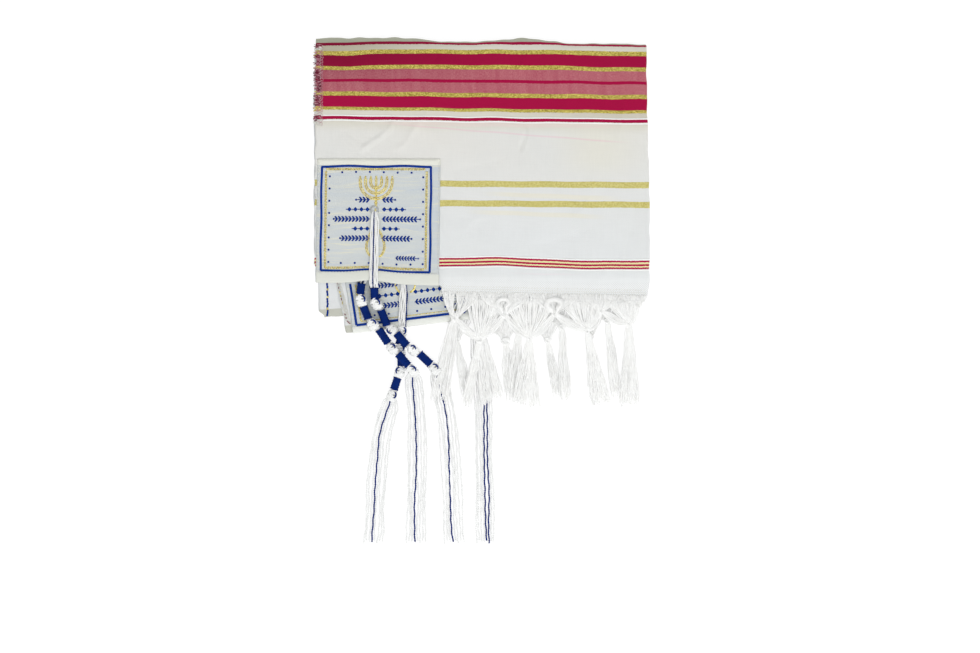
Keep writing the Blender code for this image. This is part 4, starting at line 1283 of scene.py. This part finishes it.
TASSEL_3 = (
    Station(-68.0, -33.6, 4.4, "knot"),
    Station(-68.3, -37.6, 3.4, "start"),
    Station(-70.2, -44.2, 3.4, "end"),
    Station(-69.4, -48.2, 3.9, "knot"),
    Station(-68.6, -52.6, 3.4, "start"),
    Station(-68.2, -62.4, 3.4, "end"),
    Station(-69.6, -67.2, 3.9, "knot"),
    Station(-71.4, -72.2, 3.4, "start"),
    Station(-74.6, -82.0, 3.4, "end"),
    Station(-76.2, -86.8, 3.9, "knot"),
)


def make_tassel(number, lead, beside, stations, strands, materials, navy=(3,)):
    """One corner tassel. strands is the start, heading, end, spread, sway and level of its free strands."""
    rng = random.Random(number)
    t = Threads()
    lead_cords(t, lead, beside, rng)
    for here, after in zip(stations, stations[1:]):
        if here.kind == "start":
            winding(t, here[:3], after[:3], rng)
    for before, here, after in zip((None,) + stations, stations, stations[1:] + (None,)):
        if here.kind == "knot":
            a = np.array((before or here)[:3])
            b = np.array((after or here)[:3])
            cord_knot(t, here[:3], b - a, rng)
            for near in (before, after):
                if near:
                    t.tube([here[:3], near[:3]], 2.1, 8, 0)
    free_strands(t, *strands, rng, navy)
    return finish_piece(t.make(f"corner_tassel_{number}", materials), [f"tzitzit_{number}"])


def make_tassels(materials):
    eyelet_x, eyelet_y = EYELET[0], EYELET[1] - 1.8
    lead = []
    over = LEVEL_1 + PITCH + WALL / 2 + GAP + 0.9
    for y in (eyelet_y, 62.5, 58.0, 48.0, 38.0, 26.0, 18.0, 13.0, 9.2):
        x = eyelet_x - 0.9 * float(smooth((eyelet_y - y) / 60))
        lead.append((x, y, float(upper_height(x, y, over))))
    lead[0] = (lead[0][0], lead[0][1] + 0.6, lead[0][2] - 1.4)
    lead += [(-90.9, 6.4, lead[-1][2] - 1.2), (-90.7, 3.4, 12.4)]
    beside = ((-2.9, 0, 0.0), (-1.75, 0, 0.25), (-0.75, 1, 0.5))
    beside += ((0.35, 0, 0.35), (1.65, 0, 0.3), (2.9, 0, 0.0))
    strands = ((-40.4, -64.6, 3.0), (0.35, -0.94), -24.0, 2.3, 3.0, 1.25)
    make_tassel(1, lead, beside, TASSEL_1, strands, materials)

    on_patch = LEVEL_3 + PITCH + WALL / 2 + GAP
    spots = ((-97.0, 14.0), (-98.2, 11.0), (-99.8, 8.0))
    lead = [(x, y, float(lower_height(x, y, on_patch)) + 1.0) for x, y in spots]
    lead.append((-101.4, 3.8, 10.8))
    beside = ((-1.8, 0, 0.0), (-0.4, 1, 0.3), (0.9, 0, 0.2), (2.1, 0, 0.0))
    strands = ((-59.0, -66.0, 7.0), (0.1, -0.99), -56.0, 2.3, 2.0, 1.25)
    make_tassel(2, lead, beside, TASSEL_2, strands, materials)

    lead = []
    for y in (9.0, 3.0, -3.0, -9.0, -14.5, -20.0, -25.0, -29.8):
        x = -66.4 + 0.04 * y
        lead.append((x, y, float(lower_height(x, y, on_patch)) + 0.8))
    lead.append((-67.9, -32.6, 4.6))
    beside = ((-2.6, 0, 0.0), (-1.1, 0, 0.35), (0.4, 0, 0.4), (1.8, 0, 0.2), (3.0, 1, 0.1))
    strands = ((-76.2, -86.8, 2.6), (-0.2, -0.98), -92.0, 2.3, -3.0, 1.25)
    make_tassel(3, lead, beside, TASSEL_3, strands, materials)

    lead = [(-6.4, -18.6, 1.1), (-6.2, -24.0, 1.1), (-5.6, -29.0, 1.1), (-4.9, -33.5, 1.1)]
    beside = ((-1.7, 0, 0.0), (-0.6, 0, 0.2), (0.6, 1, 0.2), (1.7, 0, 0.0))
    strands = ((-4.8, -33.0, 1.3), (0.15, -0.99), 2.0, 2.0, 1.0, 1.25)
    make_tassel(4, lead, beside, (), strands, materials, (4, 5))


def loose_thread(threads, points, radius, rng, wobble, index=0, sides=4):
    """A thread through the points, with small random waves of its own."""
    path = curve_through(points, 4)
    n = len(path)
    ends = np.sin(np.linspace(0, math.pi, n)) ** 0.5
    phase = rng.uniform(0, 6)
    rate = rng.uniform(0.5, 1.1)
    waves = np.sin(np.arange(n) * rate * 1.25 + phase) * wobble * ends
    path[:, 0] += waves
    path[:, 2] = np.maximum(path[:, 2] + 0.5 * waves * math.cos(phase), radius + 0.08)
    threads.tube(path, radius, sides, index)


def yarn_knot(threads, centre, size, rng, turn=0.0):
    """A knot tied in a bundle of threads: parallel loops that cross, with a loop end standing out."""
    t = np.linspace(0, 2 * math.pi, 18, endpoint=False)
    c, e = math.cos(turn), math.sin(turn)
    for k in range(11):
        spread = (k - 5) / 5
        reach = size * (1 + 0.1 * spread) + rng.uniform(-0.12, 0.12)
        x = reach * np.cos(t) * (1 + 0.2 * np.cos(2 * t))
        y = size * 0.72 * np.sin(t) + spread * size * 0.55
        z = 0.75 * np.sin(2 * t + 0.4 * spread) + 0.5 * math.cos(spread * 2)
        path = np.stack([centre[0] + x * c - y * e, centre[1] + x * e + y * c, centre[2] + z], axis=1)
        path[:, 2] = np.maximum(path[:, 2], 0.4)
        threads.tube(path, 0.36, 4, 0, closed=True)
    for k in range(6):
        angle = t[:10] + rng.uniform(-0.3, 0.3) + turn
        reach = size * rng.uniform(1.15, 1.5)
        x, y = reach * np.cos(angle), reach * 0.8 * np.sin(angle)
        z = centre[2] + rng.uniform(-0.3, 1.0) + 0.4 * np.sin(angle)
        path = np.stack([centre[0] + x, centre[1] + y, np.maximum(z, 0.4)], axis=1)
        threads.tube(path, 0.3, 4, 0)


def part_round(point, openings):
    """A point of a fan moved sideways out of the net's openings."""
    x, y, z = point
    for o in openings:
        aside = x - o.x
        x = o.x + math.copysign(math.hypot(aside, o.half_width * float(bump(y - o.y, o.half_height))), aside)
    return (x, y, z)


# The points of a coil of the net, as shares of its radius
COIL = ((-0.5, -0.75), (-0.98, -0.2), (-0.85, 0.5), (0.0, 0.85), (0.85, 0.55), (1.0, -0.15), (0.5, -0.75))


def make_fringe(
    name, node, hem, root_height, fans, knots, legs, tassels, swags, loops,
    density, start_above, materials, seed, openings=(),
):
    """A knotted fringe: threads fan in from the hem to knots, cross to further knots and hang as tassels.

    A fan behind lies lower, with fewer and thicker threads, and fills the net from the back. swags is the
    left, right and depth of each bundle that loops from hem to hem. loops is the x, y, radius and knot of each
    coil. density is threads for each mm. The fans start up to start_above over the hem, and those in front
    pass round the openings.
    """
    rng = random.Random(seed)
    t = Threads()
    spots = [(k.x, k.y, k.z) for k in knots]
    for fan in fans:
        x0, y0, z0 = spots[fan.knot]
        count = int((fan.right - fan.left) * density * (0.6 if fan.behind else 1.0))
        thick = 0.16 if fan.behind else 0.0
        for k in range(count):
            share = (k + 0.5) / count
            x = fan.left + (fan.right - fan.left) * share + rng.uniform(-0.35, 0.35)
            y = float(hem(x))
            z = root_height(x) + rng.uniform(-0.15, 0.55) - (1.2 if fan.behind else 0.0)
            sag = (share - 0.5) * 2
            goal = (
                x0 + rng.uniform(-1.2, 1.2) + 1.8 * sag,
                y0 + rng.uniform(-0.8, 1.4),
                z0 + rng.uniform(-0.5, 0.7),
            )
            pull = 0.40 + 0.10 * abs(sag)
            middle = (
                x + (goal[0] - x) * pull,
                y + (goal[1] - y) * 0.62,
                (z + goal[2]) / 2 + rng.uniform(-0.1, 0.9),
            )
            near = (x + (goal[0] - x) * pull * 0.25, y + (goal[1] - y) * 0.28, z + rng.uniform(-0.1, 0.6))
            root = y + rng.uniform(0.5, start_above)
            rise = root_height(x, root) - root_height(x) + rng.uniform(0.3, 0.6) if start_above > 1 else 0.0
            if not fan.behind:
                near, middle = part_round(near, openings), part_round(middle, openings)
            route = [(x, root, z + rise), (x, y, z + 0.3), near, middle, goal][int(fan.behind) :]
            loose_thread(t, route, rng.uniform(0.2, 0.33) + thick, rng, 0.2)
    bows = ((0.0, 1.3, 0.0), (0.3, 2.9, -0.8), (0.65, 3.1, -1.0), (1.0, 1.3, 0.0))
    for leg in legs:
        a, b = np.array(spots[leg.start]), np.array(spots[leg.end])
        along = (b - a) / np.linalg.norm(b - a)
        aside = np.array([-along[1], along[0], 0.0])
        bow = rng.uniform(1.0, 2.6)
        for k in range(22):
            spread = (k - 10.5) / 10.5 + rng.uniform(-0.08, 0.08)
            route = []
            for share, breadth, sag in bows:
                rise = np.array([0.0, sag * bow, rng.uniform(-0.2, 0.7) + 0.5 * (1 - spread * spread)])
                route.append(a + (b - a) * share + aside * spread * breadth + rise)
            loose_thread(t, route, rng.uniform(0.26, 0.38), rng, 0.15)
    for left, right, depth in swags:
        for k in range(13):
            lower = depth * (0.55 + 0.5 * k / 12) + rng.uniform(-0.5, 0.5)
            narrow = 0.02 * k * (right - left)
            x0, x1 = left + rng.uniform(-1.5, 1.5) + narrow, right + rng.uniform(-1.5, 1.5) - narrow
            route = []
            for share in (0.0, 0.15, 0.35, 0.5, 0.65, 0.85, 1.0):
                x = x0 + (x1 - x0) * (share + 0.06 * math.sin(2 * math.pi * share))
                fall = lower * math.sin(math.pi * share) ** 0.8
                rise = root_height(x) + 0.2 - 0.16 * fall + rng.uniform(0, 0.4)
                route.append((x, float(hem(x)) + 0.8 - fall, rise))
            loose_thread(t, route, rng.uniform(0.3, 0.45), rng, 0.12, 0, 3)
    for tassel in tassels:
        start = np.array(spots[tassel.knot])
        end = np.array([tassel.x, tassel.y, tassel.z])
        along = (end - start) / np.linalg.norm(end - start)
        aside = np.array([-along[1], along[0], 0.0])
        count = int(20 * density)
        breadth = tassel.spread
        for k in range(count):
            spread = 2 * (k + 0.5) / count - 1 + rng.uniform(-0.12, 0.12)
            swing = rng.uniform(-0.7, 0.7)
            layer = rng.uniform(-0.7, 0.9)
            points = [
                start + aside * spread * 1.2,
                start + along * 9 + aside * (spread * 0.55 * breadth + swing) + (0, 0, 0.5 * layer),
                start + (end - start) * 0.45 + aside * (spread * 0.85 * breadth - swing) + (0, 0, layer),
                start + (end - start) * 0.75 + aside * (spread * breadth + swing) + (0, 0, layer * 0.8),
                end + aside * (spread * 1.1 * breadth + rng.uniform(-1, 1)) + along * rng.uniform(-7, 2),
            ]
            points[-1][2] = max(points[-1][2] + layer * 0.5, 0.5)
            loose_thread(t, points, rng.uniform(0.28, 0.42), rng, 0.4)
    for k, spot in enumerate(spots):
        yarn_knot(t, spot, 2.3 + 0.5 * math.sin(k * 1.7), rng, 0.5 * math.sin(k * 2.9))
    for x, y, radius, knot in loops:
        z = root_height(x) - 1.4 + 0.3 * abs(y)
        kx, ky, kz = spots[knot]
        for k in range(18):
            reach = radius * (0.5 + 0.5 * k / 17) + rng.uniform(-0.35, 0.35)
            lean = rng.uniform(-0.5, 0.5)
            route = []
            for out, up in COIL:
                rise = z + 1.1 * math.sin(math.pi * k / 17) + rng.uniform(-0.15, 0.15)
                route.append((x + out * reach * 1.12 + lean, y + up * reach + rng.uniform(-0.2, 0.2), rise))
            foot = []
            for side in (-1, 1):
                foot.append((kx + side * rng.uniform(0.6, 2.0), ky + rng.uniform(0.5, 2.0), kz + 1.0))
            t.tube(curve_through([foot[0], *route, foot[1]], 4), rng.uniform(0.24, 0.36), 4)
    if loops:
        x = fans[0].left
        while x < FRINGE_RIGHT:
            top, low = float(hem(x)) + 1.0, float(hem(x)) - 3.4
            z = root_height(x) + 0.75
            for lean in (-1.5, 1.5):
                t.tube([(x, top, z), (x + lean, low, z + 0.1)], 0.22, 4)
                t.tube([(x + lean, low, z + 0.1), (x + 0.4 * lean, low - 3.0, z - 0.1)], 0.22, 4)
            t.tube([(x - 1.4, low, z), (x, low - 0.4, z + 0.3), (x + 1.4, low, z)], 0.3, 4)
            x += 2.7
    return finish_piece(t.make(name, materials), [node])


def top_edge(x, y=None):
    return float(upper_height(x, float(hem_1(x)) if y is None else y, LEVEL_1))


def fans_between(*edges):
    """A fan to each knot in turn, between one edge and the next."""
    return tuple(Fan(left, right, knot) for knot, (left, right) in enumerate(zip(edges, edges[1:])))


def make_fringes(materials):
    knots = (
        Knot(-23.8, -22.0, 6.9),
        Knot(17.9, -19.0, 7.2),
        Knot(59.6, -18.5, 7.2),
        Knot(98.8, -16.0, 7.2),
        Knot(129.0, -11.0, 7.4),
        Knot(-3.0, -40.0, 5.9),
        Knot(38.8, -38.8, 5.9),
        Knot(87.0, -33.0, 6.1),
        Knot(122.0, -26.5, 6.3),
    )
    fans = fans_between(-34.0, -3.2, 38.8, 79.2, 114.5, 137.0)
    for left, right, knot in ((-15.0, 18.0, 5), (16.0, 61.0, 6), (63.0, 100.0, 7), (101.0, 132.0, 8)):
        fans += (Fan(left, right, knot, True),)
    legs = (Leg(0, 5), Leg(1, 5), Leg(1, 6), Leg(2, 6), Leg(2, 7), Leg(3, 7), Leg(3, 8), Leg(4, 8))
    tassels = (
        Tassel(0, -37.0, FRINGE_END + 3, 4.6, 7.0),
        Tassel(5, -14.0, FRINGE_END, 4.6, 3.8),
        Tassel(5, 3.0, FRINGE_END + 2, 4.6, 4.2),
        Tassel(6, 30.0, FRINGE_END + 2, 4.6, 5.0),
        Tassel(6, 43.0, FRINGE_END, 4.6, 4.0),
        Tassel(7, 94.0, FRINGE_END + 1, 4.6, 3.8),
        Tassel(7, 103.0, FRINGE_END + 3, 4.6, 3.4),
        Tassel(8, 118.0, FRINGE_END, 4.6, 4.0),
        Tassel(8, 127.0, FRINGE_END + 2, 4.6, 3.6),
    )
    loops = ((16.8, -9.8, 5.6, 1), (59.2, -10.8, 6.6, 2))
    openings = (Opening(-23.0, -10.5, 2.6, 5.0),)
    swags = ((-20.0, 12.0, 12.0), (22.0, 54.0, 12.0), (64.0, 96.0, 11.0), (100.0, 130.0, 10.0))
    make_fringe(
        "fringe_top", "fringe_1", hem_1, top_edge, fans, knots, legs, tassels, swags, loops,
        2.4, 1.8, materials, 11, openings,
    )

    level = 3.35
    knots = [Knot(x, y, level) for x, y in ((0.0, -36.5), (30.0, -33.5), (66.0, -30.0), (104.0, -24.5))]
    fans = fans_between(-4.0, 15.0, 48.0, 85.0, 128.0)
    tassels = (
        Tassel(0, 13.0, FRINGE_END + 6, level - 0.4, 4.5),
        Tassel(1, 24.0, FRINGE_END + 4, level - 0.4, 5.5),
        Tassel(2, 69.0, FRINGE_END + 5, level - 0.4, 4.5),
        Tassel(3, 112.0, FRINGE_END + 7, level - 0.4, 4.5),
    )
    make_fringe(
        "fringe_middle", "fringe_3", hem_3, lambda x: 2.5, fans, knots, (), tassels, (), (),
        1.6, 1.0, materials, 12,
    )

    level = 1.4
    knots = [Knot(x, y, level) for x, y in ((-22.0, -40.0), (19.0, -42.0), (54.0, -41.0), (90.0, -38.0))]
    fans = fans_between(-32.0, -6.0, 34.0, 70.0, 106.0)
    tassels = (
        Tassel(0, -14.0, FRINGE_END + 9, level, 4.0),
        Tassel(1, 24.0, FRINGE_END + 10, level, 6.0),
        Tassel(2, 63.0, FRINGE_END + 8, level, 4.5),
        Tassel(3, 93.0, FRINGE_END + 11, level, 4.0),
    )
    make_fringe(
        "fringe_low", "fringe_4", hem_4, lambda x: 0.9, fans, knots, (), tassels, (), (),
        1.3, 1.0, materials, 13,
    )


def make_hem_stitches(thread):
    """Rows of small stitches along the top leaf's fringed hem."""
    t = Threads()
    rng = random.Random(5)
    for row, (up, pitch, length) in enumerate(((5.6, 2.3, 1.2), (3.4, 1.9, 1.5), (1.2, 2.1, 2.4))):
        x = -33.0 + 0.6 * row
        while x < FRINGE_RIGHT:
            y = float(hem_1(x)) + up + rng.uniform(-0.2, 0.2)
            z = float(upper_height(x, y, LEVEL_1)) + CLOTH / 2 + 0.12
            lean = 0.4 * (-1) ** row
            foot = (x - lean, y - length / 2, z - 0.15)
            head = (x + lean, y + length / 2, z - 0.15)
            t.tube([foot, (x, y, z + 0.15), head], (0.2, 0.34, 0.2), 5)
            x += pitch * rng.uniform(0.9, 1.1)
    return finish_piece(t.make("hem_stitches", [thread]))


def make_overlock(materials):
    """Overlocked selvages with loose ends, at the left of the striped end and on the third leaf."""
    t = Threads()
    rng = random.Random(6)

    def stitch(place, at, colours, reach, radius):
        """One curl of thread over the edge at a place along it."""
        index = rng.choice(colours)
        points = []
        for share in (0.0, 0.35, 0.7, 1.0):
            side = reach * share + rng.uniform(-0.3, 0.3)
            points.append(place(at + rng.uniform(-0.9, 0.9), side, 0.35 * math.sin(math.pi * share)))
        path = curve_through(points, 4)
        t.tube(path, radius, 4, index)

    def top_left(along, side, height):
        x = float(left_1(along)) + 6.0 - side
        z = float(upper_height(max(x, float(left_1(along))), along, LEVEL_1)) + CLOTH / 2 + 0.1
        return (x, along, z + height - 0.10 * max(side - 6.0, 0) ** 1.5)

    def thread_at(along):
        """The thread that frays at a place of the striped edge: 0 white, 1 dyed, 2 gold."""
        v = float(weft(np.array(-HALF_LEAF), np.array(along)))
        for band in BANDS:
            if band.low - 0.8 < v < band.high + 0.8:
                return 2 if "gold" in band.yarn else 1
        return 0

    def third_left(along, side, height):
        x = float(left_3(along)) + 3.4 - side
        z = float(lower_height(x, along, LEVEL_3)) + CLOTH / 2 + 0.1
        return (x, along, z + height)

    at = 138.0
    curl = ((0, 0.0, 0.05), (0.9, 3.0, 0.3), (0.2, 6.3, 0.1))
    while at < 205.0:
        points = [top_left(at + rise, side, height) for rise, side, height in curl]
        t.tube(curve_through(points, 3), rng.uniform(0.12, 0.19), 4, 3 if thread_at(at) else 0)
        at += rng.uniform(1.0, 1.8)
    heights = (0.1, 0.35, 0.3, 0.0)
    for _ in range(260):
        at = rng.uniform(140, 205)
        start = rng.uniform(1.0, 6.0)
        turn = rng.uniform(-1.4, 1.4)
        points = [top_left(at + turn * k / 3, start + 0.8 * k, height) for k, height in enumerate(heights)]
        index = thread_at(at) if rng.random() < 0.72 else 3
        t.tube(curve_through(points, 3), rng.uniform(0.18, 0.38), 4, index)
    at = -31.0
    while at < 9.0:
        stitch(third_left, at, (0,), rng.uniform(3.4, 4.6), 0.26)
        at += rng.uniform(0.6, 1.0)
    at = -27.0
    while at < 8.0:
        length = rng.uniform(1.2, 2.6)
        points = [third_left(at + length * k / 3, 2.9 + 0.2 * math.sin(at + k), 0.45) for k in range(4)]
        t.tube(points, rng.uniform(0.3, 0.5), 5, rng.choice((1, 1, 2, 0)))
        at += length + rng.uniform(0.8, 3.6)
    for first, turn, index in ((0.4, 1.7, 3), (2.2, 2.6, 0)):
        chain = []
        for y in np.arange(138, 204, 0.5):
            chain.append(top_left(y, first + 0.55 * math.sin(y * turn) + 0.3 * math.sin(y * 0.6), 0.08))
        t.tube(chain, 0.13, 4, index)
    chain = [third_left(y, 0.2 + 0.25 * math.sin(y * 1.7), 0.05) for y in np.arange(-31, 9, 0.6)]
    t.tube(chain, 0.24, 4, 0)
    return finish_piece(t.make("selvage_threads", materials))


def make_reverse_stitches(navy, gold):
    """The line of stitches that shows on the wrong side of the fourth leaf."""
    t = Threads()
    y = -20.5
    rng = random.Random(7)
    while y < 9.0:
        length = rng.uniform(1.4, 2.4)
        x = -130.2 + 0.2 * math.sin(y)
        low = float(lower_height(x, y, LEVEL_4)) + CLOTH / 2
        high = float(lower_height(x, y + length, LEVEL_4)) + CLOTH / 2
        index = 1 if rng.random() < 0.15 else 0
        middle = (x, y + length / 2, (low + high) / 2 + 0.25)
        points = [(x, y, low - 0.1), middle, (x, y + length, high - 0.1)]
        t.tube(points, 0.8, 6, index, 0.6)
        y += length + rng.uniform(0.1, 0.4)
    return finish_piece(t.make("reverse_stitches", [navy, gold]))


def make_floor():
    """A white table that glows a little, so that shadows stay as faint as in the photograph."""
    s = Shader("floor", roughness=0.9, specular=0.1)
    place = s.position()
    s.colour(s.mix(s.remap(s.noise(place, 3.0), 0.0, 1.0), (0.28, 0.28, 0.29), (0.29, 0.29, 0.29)))
    s.bsdf.inputs["Emission Color"].default_value = (1.0, 1.0, 1.0, 1.0)
    s.bsdf.inputs["Emission Strength"].default_value = 0.78
    bpy.ops.mesh.primitive_plane_add(size=6.0, location=(0, 0, -0.0002))
    floor = bpy.context.object
    floor.name = "floor"
    floor.data.materials.append(s.material)
    return floor


def make_lights():
    world = bpy.data.worlds.new("studio")
    world.use_nodes = True
    background = world.node_tree.nodes["Background"]
    background.inputs["Color"].default_value = (1.0, 1.0, 1.0, 1.0)
    background.inputs["Strength"].default_value = 0.85
    bpy.context.scene.world = world
    # a large soft panel on the fringe's side and a smaller one opposite
    for name, place, size, power in (
        ("key", (0.55, -1.3, 1.25), 1.1, 15.0),
        ("fill", (-0.9, 0.9, 1.6), 1.6, 3.5),
    ):
        light = bpy.data.lights.new(name, "AREA")
        light.size = size
        light.energy = power
        lamp = bpy.data.objects.new(name, light)
        lamp.location = place
        direction = np.array(place) * -1
        lamp.rotation_euler = (
            math.atan2(math.hypot(direction[0], direction[1]), -direction[2]),
            0.0,
            math.atan2(direction[1], direction[0]) - math.pi / 2,
        )
        bpy.context.scene.collection.objects.link(lamp)


def make_camera():
    """Straight down, with the photograph's width covering 816.7 mm at the level of the upper leaves."""
    height = 2.5
    level = 0.012
    covered = 0.8167
    sensor = 36.0
    data = bpy.data.cameras.new("camera")
    data.sensor_width = sensor
    data.lens = sensor * (height - level) / covered
    camera = bpy.data.objects.new("camera", data)
    camera.location = (0.0058, -0.0292, height)
    bpy.context.scene.collection.objects.link(camera)
    bpy.context.scene.camera = camera


def main():
    bpy.context.scene.view_settings.view_transform = "Standard"
    make_camera()
    make_lights()
    make_floor()

    shawl = shawl_cloth()
    # The upper patch's turned hem is a darker cream than the lower one's: its own cream with painted shade
    satin_1 = patch_satin("patch_satin_1", 7.8, 97.2, (217, 219, 211))
    satin_3 = patch_satin("patch_satin_3", 4.2, 98.6, (233, 235, 229))
    # The white and fringe yarns glow a little: painted light that lifts their shade
    white_yarn = yarn("white_yarn", (240, 241, 240), (216, 217, 216), glow=0.04)
    fringe_yarn = yarn("fringe_yarn", (235, 236, 236), (219, 218, 213), contrast=0.4, glow=0.12)
    dull = {"roughness": 0.7, "sheen": 0.0, "specular": 0.08}
    navy_yarn = yarn("navy_yarn", (6, 44, 122), (2, 22, 78), contrast=0.45, **dull)
    navy_thread = yarn("navy_thread", (10, 58, 150), (4, 34, 104), scale=3400.0, **dull)
    magenta_thread = yarn("magenta_thread", (150, 14, 62), (70, 2, 28), contrast=0.8)
    pink_thread = yarn("pink_thread", (214, 168, 178), (170, 96, 116), contrast=0.7)
    white_thread = yarn("white_thread", (232, 232, 226), (200, 200, 192), scale=3400.0)
    eyelet_thread = yarn("eyelet_thread", (206, 210, 210), (150, 154, 156), roughness=0.55)
    gold_thread = metallic_thread()

    make_stack(shawl)
    make_lower_leaves(shawl)
    make_upper_leaves(shawl)
    make_patch("patch_1", upper_patch_place, PATCH_DEPTH, 8.6, satin_1, "corner_patch_1")
    make_patch("patch_3", lower_patch_place, 44.0, 4.2, satin_3, "corner_patch_3")
    decorate_upper_patch(upper_patch_place, navy_thread, gold_thread, white_thread)
    decorate_lower_patch(lower_patch_place, navy_thread, gold_thread, white_thread)
    make_eyelet(upper_patch_place, eyelet_thread)
    make_tassels([white_yarn, navy_yarn])
    make_fringes([fringe_yarn])
    make_hem_stitches(white_thread)
    make_overlock([white_thread, magenta_thread, gold_thread, pink_thread])
    make_reverse_stitches(navy_thread, gold_thread)


main()
